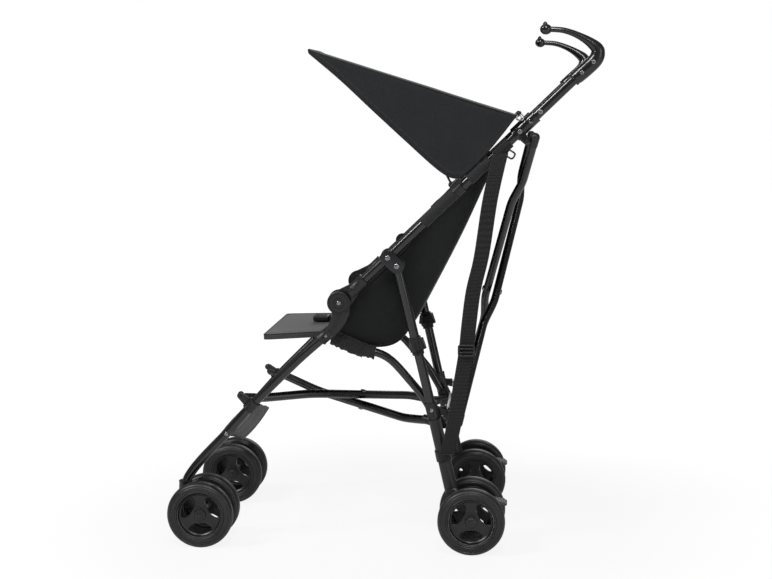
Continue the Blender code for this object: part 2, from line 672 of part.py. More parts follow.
def wheel(name, side, across, hub):
    """Tyre and three-spoke rim turned about the axle, with a blind bore from the inner face."""
    outward = 1 if across > WHEEL_MIDDLE else -1
    half = WHEEL_WIDTH / 2
    profile = [
        (0, 0.0070), (0.0440, 0.0045), (0.0475, 0.0125), (0.0600, half),
        (WHEEL_RADIUS, 0.0065), (WHEEL_RADIUS, -0.0065), (0.0600, -half), (0.0475, -0.0125), (0.0440, -0.0020),
        (0.0110, -0.0035), (0.0105, -half), (0.0045, -half), (0.0045, 0.0040), (0, 0.0040),
    ]
    bm = bmesh.new()
    verts = [bm.verts.new((radius, 0, height)) for radius, height in profile]
    for first, second in zip(verts, verts[1:]):
        bm.edges.new((first, second))
    mesh = bpy.data.meshes.new("profile")
    bm.to_mesh(mesh)
    bm.free()
    place = (side * across, *hub)
    turn = (0, side * outward * math.pi / 2, 0)
    base = helper(mesh, ROOT, place, turn)
    screw = base.modifiers.new("turned", "SCREW")
    screw.steps = 22
    screw.render_steps = 22
    screw.use_merge_vertices = True
    screw.merge_threshold = 0.00005
    windows = []
    for middle in (30, 150, 270):
        outline = []
        for angle, radius in WINDOW:
            turned = math.radians(middle + angle)
            outline.append((hub[0] + radius * math.cos(turned), hub[1] + radius * math.sin(turned)))
        windows.append(plate(ROOT, outline, side * across - 0.02, side * across + 0.02))
    node(name, base, BLACK_PLASTIC, cut=windows)


def wheels(side):
    for position, hub_y, spread in (("front", HUB_FRONT, SPREAD_FRONT), ("rear", HUB_REAR, SPREAD_REAR)):
        for place, sign in (("outer", 1), ("inner", -1)):
            name = f"wheel_{position}_{place}{SUFFIX[side]}"
            wheel(name, side, WHEEL_MIDDLE + sign * spread, (hub_y, WHEEL_RADIUS))


# Soft pieces
SEAT_ROWS = [
    ((-0.0130, 0.4255), -0.0370, (-0.0120, 0.4340), -0.0370),
    ((0.0200, 0.4070), -0.0370, (0.0420, 0.5130), -0.0200),
    ((0.0800, 0.4015), -0.0370, (0.0720, 0.5420), -0.0200),
    ((0.1210, 0.4120), -0.0370, (0.1100, 0.5780), -0.0200),
    ((0.1510, 0.4475), -0.0370, (0.1480, 0.6150), -0.0170),
    ((0.1872, 0.5090), -0.0350, (0.1870, 0.6670), -0.0030),
    ((0.2447, 0.6099), -0.0300, (0.2290, 0.7070), -0.0030),
    ((0.2857, 0.6795), -0.0240, (0.2760, 0.7380), -0.0120),
    ((0.3300, 0.7720), -0.0180, (0.3120, 0.7720), -0.0140),
]


def seat_fabric():
    """Sling with side wings, sleeved on the upper tubes and on the seat tubes."""
    rows = []
    for bottom, bottom_lean, top, top_lean in SEAT_ROWS:
        edge, wing = world(1, bottom_lean, bottom), world(1, top_lean, top)
        half = edge.lerp(wing, 0.5)
        row = [wing, half, edge, Vector((edge.x * 0.45, edge.y, edge.z))]
        row += [Vector((-place.x, place.y, place.z)) for place in reversed(row)]
        rows.append(row)
    sleeves, bores = [], []
    for side in (1, -1):
        parent = SIDES[side]
        start, end = local(side, 0, on_tube(0.1800)), local(side, 0, on_tube(0.2380))
        sleeves.append(rod(parent, start, end, 0.0113))
        bores.append(rod(parent, start - (end - start), end + (end - start), BORE))
        front = local(side, SEAT_TUBE_LEAN, between(SEAT_TUBE_FRONT, (0.0567, 0.4010), 0.28))
        back = local(side, SEAT_TUBE_LEAN, between(SEAT_TUBE_FRONT, (0.0567, 0.4010), 0.95))
        sleeves.append(rod(parent, front, back, SEAT_TUBE + 0.0045))
        bores.append(rod(parent, front - (back - front) * 0.3, back + (back - front) * 0.02, SEAT_TUBE + GAP))
    sheet_of(ROOT, rows, CLOTH, BLACK_CLOTH, "seat_fabric", 1, sleeves, bores)


def seat_board():
    """Padded front of the seat, which sticks out before the knees."""
    low = [(-0.1510, 0.4175), (-0.0170, 0.4235)]
    high = [(-0.0170, 0.4372), (-0.1510, 0.4315)]
    bm = bmesh.new()
    rings = []
    for sign in (1, -1):
        ring = []
        for place, half in zip(low + high, (0.1600, 0.1400, 0.1400, 0.1600)):
            ring.append(bm.verts.new((sign * half, *place)))
        rings.append(ring)
    bm.faces.new(rings[0])
    bm.faces.new(rings[1])
    for index in range(4):
        after = (index + 1) % 4
        bm.faces.new((rings[0][index], rings[0][after], rings[1][after], rings[1][index]))
    base = helper(finish(bm), ROOT)
    soft = base.modifiers.new("rounded", "BEVEL")
    soft.width = 0.0050
    soft.segments = 2
    node("seat_board", base, BLACK_CLOTH)


CANOPY_ROWS = [
    ((-0.0480, 0.9995), (-0.0465, 0.9930)),
    ((0.0320, 0.9740), (0.0180, 0.9390)),
    ((0.1120, 0.9485), (0.0830, 0.8790)),
    ((0.1920, 0.9230), (0.1480, 0.8200)),
    ((0.2650, 0.8997), (0.2126, 0.7640)),
    ((0.2950, 0.8902), (0.2350, 0.7570)),
    ((0.3220, 0.8815), (0.2620, 0.7700)),
    ((0.3420, 0.8752), (0.2990, 0.8030)),
    ((0.3540, 0.8713), (0.3290, 0.8400)),
]


def canopy_half(y):
    return 0.170 + (y + 0.048) * 0.150


def canopy():
    """Sun cover: flat top from the front wire to the tubes, with a three-cornered panel at each side."""
    rows = []
    for top, low in CANOPY_ROWS:
        edge = Vector((canopy_half(top[0]), top[0], top[1]))
        hem = Vector((canopy_half(low[0]) + 0.001, low[0], low[1]))
        row = [hem, hem.lerp(edge, 0.5), edge, Vector((edge.x * 0.4, edge.y, edge.z + 0.002))]
        row += [Vector((-place.x, place.y, place.z)) for place in reversed(row)]
        rows.append(row)
    sheet_of(ROOT, rows, 0.003, BLACK_CLOTH, "canopy", 0)


CLIP = 0.2460
BOW_HINGE = 0.0175


def canopy_bow():
    """Wire from clip to clip along the lower edges and round the front of the cover."""
    hinge = world(1, 0, on_tube(CLIP, BOW_HINGE))
    half = []
    for y, z in ((hinge.y, hinge.z), (0.2180, 0.7690), (0.1500, 0.8270), (0.0300, 0.9330), (-0.0310, 0.9850)):
        half.append(Vector((canopy_half(y) - 0.0055, y, z)))
    half.append(Vector((canopy_half(-0.04) - 0.012, -0.0380, 0.9905)))
    path = half + [Vector((-place.x, place.y, place.z)) for place in reversed(half)]
    base = tube(ROOT, path, 0.0022, corners=8)
    eyes = []
    for place, sign in ((path[0], 1), (path[-1], -1)):
        eyes.append(rod(ROOT, place + Vector((sign * 0.003, 0, 0)), place - Vector((sign * 0.003, 0, 0)), 0.0050))
    node("canopy_bow", base, BLACK_METAL, add=eyes)


def canopy_clip(side):
    """Clip on the upper tube that holds the end of the canopy's wire."""
    parent = SIDES[side]
    base = rod(parent, local(side, 0, on_tube(CLIP - 0.0030)), local(side, 0, on_tube(CLIP + 0.0090)), COLLAR)
    ear = plate(
        parent, link_outline(on_tube(CLIP + 0.0020, 0.0040), 0.0080, on_tube(CLIP, BOW_HINGE), 0.0055),
        side * 0.0065, side * 0.0095,
    )
    bore = rod(parent, local(side, 0, on_tube(0.20)), local(side, 0, on_tube(0.30)), BORE)
    node("canopy_clip" + SUFFIX[side], base, BLACK_PLASTIC, add=[ear], cut=[bore])


def harness():
    """Two waist straps that meet behind the buckle, and the crotch strap under it."""
    half_web, thick = 0.0100, 0.0018
    right = [(-0.1395, 0.0850, 0.4520), (-0.0900, 0.0400, 0.4420), (-0.0300, -0.0215, 0.4490)]
    bm = bmesh.new()
    grid = []
    for x, y, z in right + [(-x, y, z) for x, y, z in reversed(right)]:
        grid.append([bm.verts.new((x, y, z + lift)) for lift in (-half_web, half_web)])
    for first, second in zip(grid, grid[1:]):
        bm.faces.new((first[0], second[0], second[1], first[1]))
    base = helper(finish(bm), ROOT)
    thicken = base.modifiers.new("thickness", "SOLIDIFY")
    thicken.thickness = thick
    thicken.offset = 0
    tongue = box(ROOT, (-0.0150, -0.0317, 0.4440), (0.0150, -0.0210, 0.4460))
    riser = box(ROOT, (-0.0125, -0.0300, 0.4380), (0.0125, -0.0280, 0.4455))
    crotch = box(ROOT, (-0.0125, -0.0600, 0.4374), (0.0125, -0.0280, 0.4387))
    node("harness", base, BLACK_CLOTH, add=[tongue, riser, crotch])


BUCKLE = Vector((0, -0.0490, 0.4455))


def buckle():
    """Side-release buckle of the harness, with the well of its button."""
    base = box(ROOT, BUCKLE - Vector((0.0200, 0.0170, 0.0065)), BUCKLE + Vector((0.0200, 0.0170, 0.0055)))
    edge = base.modifiers.new("rounded", "BEVEL")
    edge.width = 0.0025
    edge.segments = 2
    low = BUCKLE - Vector((0.0083, 0.0083, 0.0010))
    well = box(ROOT, low, BUCKLE + Vector((0.0083, 0.0083, 0.0200)))
    node("buckle", base, BLACK_PLASTIC, cut=[well])


def buckle_button():
    low = BUCKLE - Vector((0.0078, 0.0078, -0.0018))
    base = box(ROOT, low, BUCKLE + Vector((0.0078, 0.0078, 0.0062)), at=BUCKLE)
    edge = base.modifiers.new("rounded", "BEVEL")
    edge.width = 0.0012
    edge.segments = 2
    node("buckle_button", base, GREY_PLASTIC)


STRAP_PATH = [
    (0.0108, 0.3290, 0.8010), (0.0150, 0.3215, 0.7700), (0.0165, 0.3083, 0.7061), (0.0165, 0.2931, 0.6020),
    (0.0165, 0.2777, 0.5342), (0.0165, 0.2689, 0.4656), (0.0165, 0.2631, 0.4087), (0.0190, 0.2532, 0.3470),
    (0.0210, 0.2421, 0.2764), (0.0195, 0.2330, 0.2300), (0.0142, 0.2230, 0.1950),
]
STRAP_WIDTH = 0.0130
STRAP_THICK = 0.0020


def carry_strap():
    """Webbing on the near side, looped on the upper tube and round the foot of the rear leg."""
    parent = SIDES[1]
    bm = bmesh.new()
    grid = []
    for lean, y, q in STRAP_PATH:
        grid.append([bm.verts.new((lean, y + step, q)) for step in (-STRAP_WIDTH, STRAP_WIDTH)])
    for first, second in zip(grid, grid[1:]):
        bm.faces.new((first[0], first[1], second[1], second[0]))
    base = helper(finish(bm), parent)
    thicken = base.modifiers.new("thickness", "SOLIDIFY")
    thicken.thickness = STRAP_THICK
    thicken.offset = 0
    upper = rod(parent, local(1, 0, on_tube(0.3200)), local(1, 0, on_tube(0.3440)), 0.0122)
    lower = rod(parent, local(1, 0, on_leg(0.2000)), local(1, 0, on_leg(0.1800)), 0.0153)
    bores = [
        rod(parent, local(1, 0, on_tube(0.30)), local(1, 0, on_tube(0.36)), BORE),
        rod(parent, local(1, 0, on_leg(0.2660)), local(1, 0, on_leg(0.1050)), 0.0120 + GAP, 0.0138 + GAP),
    ]
    node("carry_strap", base, BLACK_CLOTH, add=[upper, lower], cut=bores)


def strap_buckle():
    """Slide buckle on the carry strap."""
    parent = SIDES[1]
    middle = (0.2640, 0.4130)
    outer = 0.0165 + STRAP_THICK / 2 + GAP
    half_deep, half_high, thick = 0.0165, 0.0130, 0.006
    low = (outer, middle[0] - half_deep, middle[1] - half_high)
    base = box(parent, low, (outer + thick, middle[0] + half_deep, middle[1] + half_high))
    edge = base.modifiers.new("rounded", "BEVEL")
    edge.width = 0.0018
    edge.segments = 2
    node("strap_buckle", base, BLACK_PLASTIC)


def footrest():
    """Ribbed strap between the front legs, sewn round each."""
    start, end = Vector(FRONT_PATH[1][1:]), Vector(FRONT_PATH[2][1:])
    heading = (end - start).normalized()
    centre = end - heading * 0.006
    band_high, band_low = 0.2245, 0.2150
    half = HALF_WIDTH + centre.y * math.sin(LEAN) - 0.004
    bm = bmesh.new()
    grid = []
    for x in (-half, -half * 0.5, 0, half * 0.5, half):
        sag = 0.006 * (1 - (x / half) ** 2)
        row = [bm.verts.new((x, -0.2255, band_high - sag)), bm.verts.new((x, -0.1930, band_low - sag))]
        grid.append(row)
    for first, second in zip(grid, grid[1:]):
        bm.faces.new((first[0], first[1], second[1], second[0]))
    base = helper(finish(bm), ROOT)
    thicken = base.modifiers.new("thickness", "SOLIDIFY")
    thicken.thickness = 0.0030
    thicken.offset = 0
    loops, bores = [], []
    for side in (1, -1):
        start = local(side, 0.0007, centre - heading * 0.016)
        end = local(side, 0.0009, centre + heading * 0.016)
        loops.append(rod(SIDES[side], start, end, 0.0122))
        bores.append(leg_bore(side, 1, 4))
    node("footrest", base, GREY_PLASTIC, add=loops, cut=bores)


def seat_loop(side):
    """Webbing loop that ties the seat's rear corner to the leg."""
    parent = SIDES[side]
    base = rod(parent, local(side, 0, on_leg(0.4340)), local(side, 0, on_leg(0.4000)), 0.0124)
    tail = box(
        parent, (min(side * -0.0335, side * -0.0100), 0.1520, 0.4080), (max(side * -0.0335, side * -0.0100), 0.1560, 0.4280)
    )
    bore = rod(parent, local(side, 0, on_leg(0.50)), local(side, 0, on_leg(0.35)), BORE)
    node("seat_loop" + SUFFIX[side], base, BLACK_CLOTH, add=[tail], cut=[bore])


for which in (1, -1):
    upper_tube(which)
    handle_grip(which)
    x_bracket_upper(which)
    side_bracket(which)
    knee_upper(which)
    knee_lower(which)
    front_leg(which)
    front_bracket(which)
    caster_housing(which)
    caster_fork(which)
    rear_leg(which)
    rear_axle_housing(which)
    brake_pedal(which)
    rear_leg_bracket(which)
    seat_tube(which)
    lock_link(which)
    rear_x_bar(which)
    bottom_x_bar(which)
    wheels(which)
    canopy_clip(which)
    seat_loop(which)
seat_fabric()
seat_board()
canopy()
canopy_bow()
harness()
buckle()
buckle_button()
carry_strap()
strap_buckle()
footrest()
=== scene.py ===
"""Umbrella-fold buggy: round tubes, moulded joints, eight wheels, sling seat, sun canopy and webbing."""

import math

import bmesh
import bpy
from mathutils import Matrix, Vector, noise


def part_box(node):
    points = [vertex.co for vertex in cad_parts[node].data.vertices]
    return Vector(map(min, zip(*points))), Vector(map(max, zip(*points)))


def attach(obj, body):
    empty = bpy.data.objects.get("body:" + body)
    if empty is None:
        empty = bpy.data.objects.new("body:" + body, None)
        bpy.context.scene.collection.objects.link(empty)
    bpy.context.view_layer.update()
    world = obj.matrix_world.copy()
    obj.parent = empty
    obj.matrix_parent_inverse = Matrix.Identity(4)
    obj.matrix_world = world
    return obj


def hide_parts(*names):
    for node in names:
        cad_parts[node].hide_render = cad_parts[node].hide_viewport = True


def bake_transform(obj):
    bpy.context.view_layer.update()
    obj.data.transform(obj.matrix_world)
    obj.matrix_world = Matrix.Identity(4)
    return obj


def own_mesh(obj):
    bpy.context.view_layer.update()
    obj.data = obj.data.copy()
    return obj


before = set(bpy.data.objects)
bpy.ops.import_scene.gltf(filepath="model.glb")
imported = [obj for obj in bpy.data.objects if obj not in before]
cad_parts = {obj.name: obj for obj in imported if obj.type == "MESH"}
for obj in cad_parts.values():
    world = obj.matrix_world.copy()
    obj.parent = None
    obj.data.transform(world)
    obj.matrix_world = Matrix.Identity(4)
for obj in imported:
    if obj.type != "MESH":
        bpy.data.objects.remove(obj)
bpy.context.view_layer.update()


# Sizes of the frame in metres, as the solids have them; points give how far back and how high a place is
TUBE = 0.0095
BAR = 0.0083
SEAT_TUBE = 0.0083
LOW_BAR = 0.0090
COLLAR = 0.0127
HALF_WIDTH = 0.142
LEAN = math.atan(0.09)
SHIFT_BACK = -0.0911
TUBE_MIDDLE = Vector((0.2564, 0.7381))
TUBE_SLOPE = math.atan(0.9612)
KNEE = Vector((0.011, 0.505))
KNEE_DISC = 0.0230
KNEE_HALF = 0.0118
LEG_TOP = Vector((0.127, 0.580))
LEG_END = Vector((0.2335, 0.1147))
BRACKET_ON_TUBE = 0.1093
PLATE_OUT = 0.0128
PLATE_IN = 0.0098
SEAT_TUBE_FRONT = Vector((-0.0202, 0.4343))
SEAT_TUBE_BACK = Vector((0.2017, 0.2589))
SEAT_TUBE_LEAN = -0.0245
REAR_BAR_TOP = Vector((0.3793, 0.8231))
REAR_BAR_FOOT = Vector((0.2374, 0.2713))
REAR_NORMAL = Vector((0, 0.968, -0.25)).normalized()
LOW_BAR_FRONT = Vector((-0.1955, 0.3087))
LOW_BAR_BACK = Vector((0.2162, 0.2476))
LOW_FRONT_LEAN = -0.009
LOW_BACK_LEAN = -0.040
CANOPY_CLIP = 0.2460
BOW_HINGE = 0.0175
WHEEL_RADIUS = 0.0675
WHEEL_MIDDLE = 0.168
AXLES = (("front", -0.275, 0.035), ("rear", 0.275, 0.047))
CASTER = -0.313
CASTER_SOCKET = (0.1010, 0.1295)
SIDES = {1: "_l", -1: "_r"}

# How far back along the upper tube things are
TUBE_RUN = (0.0385, 0.25, 0.4800)
KNEE_SLEEVE = (0.0400, 0.0624)
LOWER_HEM = (0.1790, 0.2415)
UPPER_HEM = (0.2690, 0.3090)
STRAP_LOOP = (0.3180, 0.3450)
UPPER_BRACKET = (0.3557, 0.3963)
HANDLE_COLLAR = (0.4650, 0.4730)

# How high up the rear leg things are
LEG_BRACKET = (0.3004, 0.2696)
LEG_RIVET = 0.2860
FOOT_SLEEVE = (0.2664, 0.1046)
FOOT_LOOP = (0.2010, 0.1790)
SEAT_LOOP = (0.4345, 0.3995)

# The front leg: its top, then the lean, how far back and how high at each bend
FRONT_TOP = Vector((-0.0131, 0.4404))
FRONT_PATH = [
    (0, -0.0732, 0.3876), (0, -0.1697, 0.2917), (0.0010, -0.2291, 0.2246), (0.0030, -0.2560, 0.1975),
    (0.0055, -0.2790, 0.1735), (0.0090, -0.2970, 0.1520), (0.0125, -0.3090, 0.1340),
    (0.0153, -0.3130, 0.1150),
]
FRONT_BENDS = [Vector((y, up)) for lean, y, up in FRONT_PATH]
FRONT_HEADING = (FRONT_BENDS[0] - FRONT_TOP).normalized()

# Heads of rivets and screws: radius and rise
PIVOT_HEAD = (0.0060, 0.0030)
TUBE_SCREW = (0.0044, 0.0016)
HANDLE_SCREW = (0.0038, 0.0013)
LEG_HEAD = (0.0040, 0.0018)
SEAT_TUBE_HEAD = (0.0052, 0.0020)
REAR_BAR_HEAD = (0.0062, 0.0028)
LOW_BAR_HEAD = (0.0060, 0.0026)
KNEE_HEAD = (0.0048, 0.0026)
NECK_HEAD = (0.0030, 0.0012)
FOOTREST_HEAD = (0.0046, 0.0022)


# Places
def place(side, lean, point):
    """A place of a side frame: outward from the plane of its tubes, then backward and up that plane."""
    y, up = point
    across = HALF_WIDTH + up * math.sin(LEAN) + lean * math.cos(LEAN)
    return Vector((side * across, y + SHIFT_BACK, up * math.cos(LEAN) - lean * math.sin(LEAN)))


def outward(side):
    return Vector((side * math.cos(LEAN), 0, -math.sin(LEAN)))


def on_tube(y, above=0.0):
    along = Vector((math.cos(TUBE_SLOPE), math.sin(TUBE_SLOPE)))
    point = TUBE_MIDDLE + along * (y - TUBE_MIDDLE.x) / along.x
    return point + Vector((-along.y, along.x)) * above


def on_leg(up):
    return LEG_TOP.lerp(LEG_END, (LEG_TOP.y - up) / (LEG_TOP.y - LEG_END.y))


def along_tube(side, run):
    return [place(side, 0, on_tube(y)) for y in run]


def along_leg(side, run):
    return [place(side, 0, on_leg(up)) for up in run]


def shares(steps):
    """Evenly spaced shares from 0 to 1, both included."""
    return [step / steps for step in range(steps + 1)]


def bent(points, reach=0.030, steps=6):
    """The line through the points with each corner rounded, as a tube is bent."""
    places = [points[0]]
    for before, corner, after in zip(points, points[1:], points[2:]):
        back, on = before - corner, after - corner
        cut = min(reach, 0.48 * back.length, 0.48 * on.length)
        start, end = corner + back.normalized() * cut, corner + on.normalized() * cut
        for share in shares(steps):
            places.append(start * (1 - share) ** 2 + corner * 2 * share * (1 - share) + end * share**2)
    places.append(points[-1])
    return places


def curve_through(points, share):
    """A smooth curve through evenly numbered points, at a share of its length from 0 to 1."""
    at = min(max(share, 0), 1) * (len(points) - 1)
    index = min(int(at), len(points) - 2)
    part = at - index
    first, second = points[index], points[index + 1]
    before = points[index - 1] if index else first * 2 - second
    after = points[index + 2] if index + 2 < len(points) else second * 2 - first
    square, cube = part * part, part**3
    bend = before * (-cube + 2 * square - part) + first * (3 * cube - 5 * square + 2)
    return (bend + second * (-3 * cube + 4 * square + part) + after * (cube - square)) / 2


# Mesh
def finished(name, bm, finish, sharp=38):
    bmesh.ops.recalc_face_normals(bm, faces=bm.faces)
    mesh = bpy.data.meshes.new(name)
    bm.to_mesh(mesh)
    bm.free()
    mesh.shade_smooth()
    mesh.set_sharp_from_angle(angle=math.radians(sharp))
    for one in finish if isinstance(finish, list) else [finish]:
        mesh.materials.append(one)
    made = bpy.data.objects.new(name, mesh)
    bpy.context.scene.collection.objects.link(made)
    return made


def modified(made, kind, **values):
    modifier = made.modifiers.new(kind.lower(), kind)
    for name, value in values.items():
        setattr(modifier, name, value)


def applied(made):
    """Turns the piece's modifiers into its mesh."""
    mesh = bpy.data.meshes.new_from_object(made.evaluated_get(bpy.context.evaluated_depsgraph_get()))
    made.modifiers.clear()
    made.data = mesh
    return made


def held(made, body, *nodes, slot=None):
    """Puts a piece on its body, in place of these nodes. The slot is not used."""
    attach(made, body)
    if nodes:
        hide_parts(*nodes)
    return made


def corners_in(geometry):
    return [item for item in geometry if isinstance(item, bmesh.types.BMVert)]


def sweep(bm, places, radius, corners=28):
    """A closed tube through the places. Its radius can be a list with one value for each place."""
    guide = Vector((0.31, 0.17, 0.93))
    edges, last = None, None
    for index, here in enumerate(places):
        heading = (places[min(index + 1, len(places) - 1)] - places[max(index - 1, 0)]).normalized()
        guide = (guide - heading * guide.dot(heading)).normalized()
        size = radius[index] if isinstance(radius, list) else radius
        pose = Matrix((guide * size, heading.cross(guide) * size, heading)).transposed().to_4x4()
        pose.translation = here
        if edges is None:
            made = bmesh.ops.create_circle(bm, cap_ends=True, segments=corners, radius=1, matrix=pose)
            edges = list({edge for vertex in made["verts"] for edge in vertex.link_edges})
        else:
            pushed = bmesh.ops.extrude_edge_only(bm, edges=edges)["geom"]
            known = set(corners_in(pushed))
            bmesh.ops.transform(bm, matrix=pose @ last.inverted(), verts=list(known))
            lines = [item for item in pushed if isinstance(item, bmesh.types.BMEdge)]
            edges = [line for line in lines if line.verts[0] in known and line.verts[1] in known]
        last = pose
    bmesh.ops.edgeloop_fill(bm, edges=edges)


def turned(bm, profile, pose, steps=40, closed=False):
    """A profile of radii and heights turned about the pose's Z axis."""
    line = [bm.verts.new((radius, 0, height)) for radius, height in profile]
    edges = [bm.edges.new(pair) for pair in zip(line, line[1:])]
    if closed:
        edges.append(bm.edges.new((line[-1], line[0])))
    known = set(bm.verts) - set(line)
    whole = 2 * math.pi
    bmesh.ops.spin(
        bm, geom=line + edges, cent=(0, 0, 0), axis=(0, 0, 1), angle=whole, steps=steps, use_merge=True
    )
    bmesh.ops.remove_doubles(bm, verts=[vertex for vertex in bm.verts if vertex not in known], dist=1e-6)
    bmesh.ops.transform(bm, matrix=pose, verts=[vertex for vertex in bm.verts if vertex not in known])


def facing(centre, direction):
    """A pose at the centre with its Z axis along the direction."""
    pose = Vector(direction).to_track_quat("Z", "Y").to_matrix().to_4x4()
    pose.translation = centre
    return pose


def dome(bm, centre, direction, radius, rise):
    """A domed rivet head that stands on a surface at the centre."""
    profile = [
        (0, rise), (radius * 0.45, rise * 0.93), (radius * 0.78, rise * 0.66), (radius * 0.96, rise * 0.25),
        (radius, 0), (radius, -rise * 0.6), (0, -rise * 0.6),
    ]
    turned(bm, profile, facing(centre, direction), 24)


def screw(bm, centre, direction, radius, rise):
    """A round screw head with a socket in it."""
    profile = [
        (0, rise * 0.35), (radius * 0.42, rise * 0.35), (radius * 0.46, rise), (radius * 0.80, rise * 0.92),
        (radius, rise * 0.45), (radius, -rise), (0, -rise),
    ]
    turned(bm, profile, facing(centre, direction), 24)


def both_faces(side, reach, point, size, shift=0.0):
    """The two heads of one pin: place, direction, radius and rise on each face of a side frame."""
    return [(place(side, way * reach + shift, point), outward(side) * way, *size) for way in (1, -1)]


def heads(name, body, spots, shape=dome):
    bm = bmesh.new()
    for spot in spots:
        shape(bm, *spot)
    held(finished(name, bm, RIVET), body)


def sleeve(bm, start, end, radius, end_radius=None, lip=0.0006, steps=40):
    """A round collar from start to end with a raised lip and eased edges at both ends."""
    far = end_radius or radius
    length = (end - start).length
    ease, rim, foot = 0.0008, 0.0030, 0.0038
    profile = [
        (0, 0), (radius - ease, 0), (radius + lip, ease), (radius + lip, rim), (radius, foot),
        (far, length - foot), (far + lip, length - rim), (far + lip, length - ease), (far - ease, length),
        (0, length),
    ]
    turned(bm, profile, facing(start, end - start), steps)


def ball(bm, centre, radius, around=28, rings=16, stretch=(1, 1, 1)):
    verts = bmesh.ops.create_uvsphere(bm, u_segments=around, v_segments=rings, radius=radius)["verts"]
    bmesh.ops.scale(bm, verts=verts, vec=stretch)
    bmesh.ops.translate(bm, verts=verts, vec=centre)


def rounded_block(bm, size, rounding):
    bmesh.ops.create_cube(bm, size=1)
    bmesh.ops.scale(bm, verts=bm.verts, vec=size)
    bmesh.ops.bevel(bm, geom=bm.edges, offset=rounding, segments=4, affect="EDGES", profile=0.5, material=-1)


def block_from(bm, rim, shift):
    """A closed block from a rim to the same rim moved by the shift. Returns the moved corners."""
    face = bm.faces.new(rim)
    fresh = corners_in(bmesh.ops.extrude_face_region(bm, geom=[face])["geom"])
    bmesh.ops.translate(bm, verts=fresh, vec=shift)
    return fresh


def eased(node, body, finish, width=0.0006, slot=None, name=None):
    """A CAD piece's own shape with its flat faces merged and its edges rounded."""
    limit = math.radians(34)
    bm = bmesh.new()
    bm.from_mesh(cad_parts[node].data)
    bmesh.ops.remove_doubles(bm, verts=bm.verts, dist=2e-5)
    bmesh.ops.dissolve_limit(bm, angle_limit=math.radians(1.5), verts=bm.verts, edges=bm.edges)
    made = finished((name or node[:-2] + "_skin") + node[-2:], bm, finish)
    modified(made, "BEVEL", width=width, segments=2, limit_method="ANGLE", angle_limit=limit)
    applied(made)
    made.data.shade_smooth()
    made.data.set_sharp_from_angle(angle=limit)
    held(made, body, node, slot=slot)


def cloth(name, surface, columns, rows, size, finish, thick, smooth=1):
    """A woven piece: a grid laid on surface(u, v), with its UV map in metres of cloth."""
    bm = bmesh.new()
    layer = bm.loops.layers.uv.new("weave")
    bmesh.ops.create_grid(bm, x_segments=columns, y_segments=rows, size=0.5)
    for face in bm.faces:
        for loop in face.loops:
            u, v = loop.vert.co.x + 0.5, loop.vert.co.y + 0.5
            loop[layer].uv = size(u, v) if callable(size) else (u * size[0], v * size[1])
    for vertex in bm.verts:
        vertex.co = surface(vertex.co.x + 0.5, vertex.co.y + 0.5)
    made = finished(name, bm, finish, 80)
    if smooth:
        modified(made, "SUBSURF", levels=smooth, render_levels=smooth)
    modified(made, "SOLIDIFY", thickness=thick, offset=0)
    return applied(made)


def strip(name, places, across, width, finish, thick, columns=6, per=3):
    """Flat webbing through the places. across is its width's direction, or a list of one for each place."""
    ways = across if isinstance(across, list) else [across] * len(places)
    length = sum((after - before).length for before, after in zip(places, places[1:]))

    def surface(u, v):
        return curve_through(places, v) + curve_through(ways, v).normalized() * (u - 0.5) * width

    return cloth(name, surface, columns, (len(places) - 1) * per, (width, length), finish, thick, 0)


def wrap(name, start, end, radius, far, slack=0.0003):
    """A band of webbing wound once round a tube, with its ribs round it."""
    axis = (end - start).normalized()
    side = axis.cross(Vector((1, 0, 0))).normalized()
    up = axis.cross(side)

    def surface(u, v):
        angle = 2 * math.pi * v
        size = radius + (far - radius) * u + slack * math.sin(5 * angle + 2 * u)
        return start.lerp(end, u) + (side * math.cos(angle) + up * math.sin(angle)) * size

    around = 2 * math.pi * radius
    return cloth(name, surface, 6, 48, ((end - start).length, around), WEBBING, 0.0016, 0)


# Shader nodes
THREAD_SCALE = 0.159


def linear(code):
    """An sRGB hex colour as linear red, green and blue, with full alpha."""
    values = [int(code[start:start + 2], 16) / 255 for start in (1, 3, 5)]
    return (*[value / 12.92 if value <= 0.04045 else ((value + 0.055) / 1.055) ** 2.4 for value in values], 1)


def add(tree, kind, inputs=(), **settings):
    """Adds a shader node, sets its settings, and fills or links its inputs."""
    made = tree.nodes.new("ShaderNode" + kind)
    for name, value in settings.items():
        setattr(made, name, value)
    for name, value in dict(inputs).items():
        if isinstance(value, bpy.types.NodeSocket):
            tree.links.new(value, made.inputs[name])
        else:
            made.inputs[name].default_value = value
    return made


def worked(tree, operation, *values):
    return add(tree, "Math", dict(enumerate(values)), operation=operation).outputs["Value"]


def ranged(tree, value, **limits):
    """A value mapped between limits, which are named From_Min, From_Max, To_Min and To_Max."""
    inputs = {name.replace("_", " "): limit for name, limit in limits.items()}
    return add(tree, "MapRange", {"Value": value, **inputs}).outputs["Result"]


def blended(tree, factor, low, high):
    """A colour between two, each a hex code or a socket."""
    first, second = [linear(one) if isinstance(one, str) else one for one in (low, high)]
    return add(tree, "Mix", {"Factor": factor, 6: first, 7: second}, data_type="RGBA").outputs[2]


def threads(tree, spot, pitch, way, distortion, detail=1.0):
    """Waves along X or Y, one for each pair of threads that lie this pitch apart."""
    inputs = {"Vector": spot, "Scale": THREAD_SCALE / pitch, "Distortion": distortion, "Detail": detail}
    return add(tree, "TexWave", inputs, wave_type="BANDS", bands_direction=way).outputs["Fac"]


def plain_weave(tree, spot, pitch, distortion):
    return worked(tree, "MULTIPLY", *[threads(tree, spot, pitch, way, distortion) for way in ("X", "Y")])


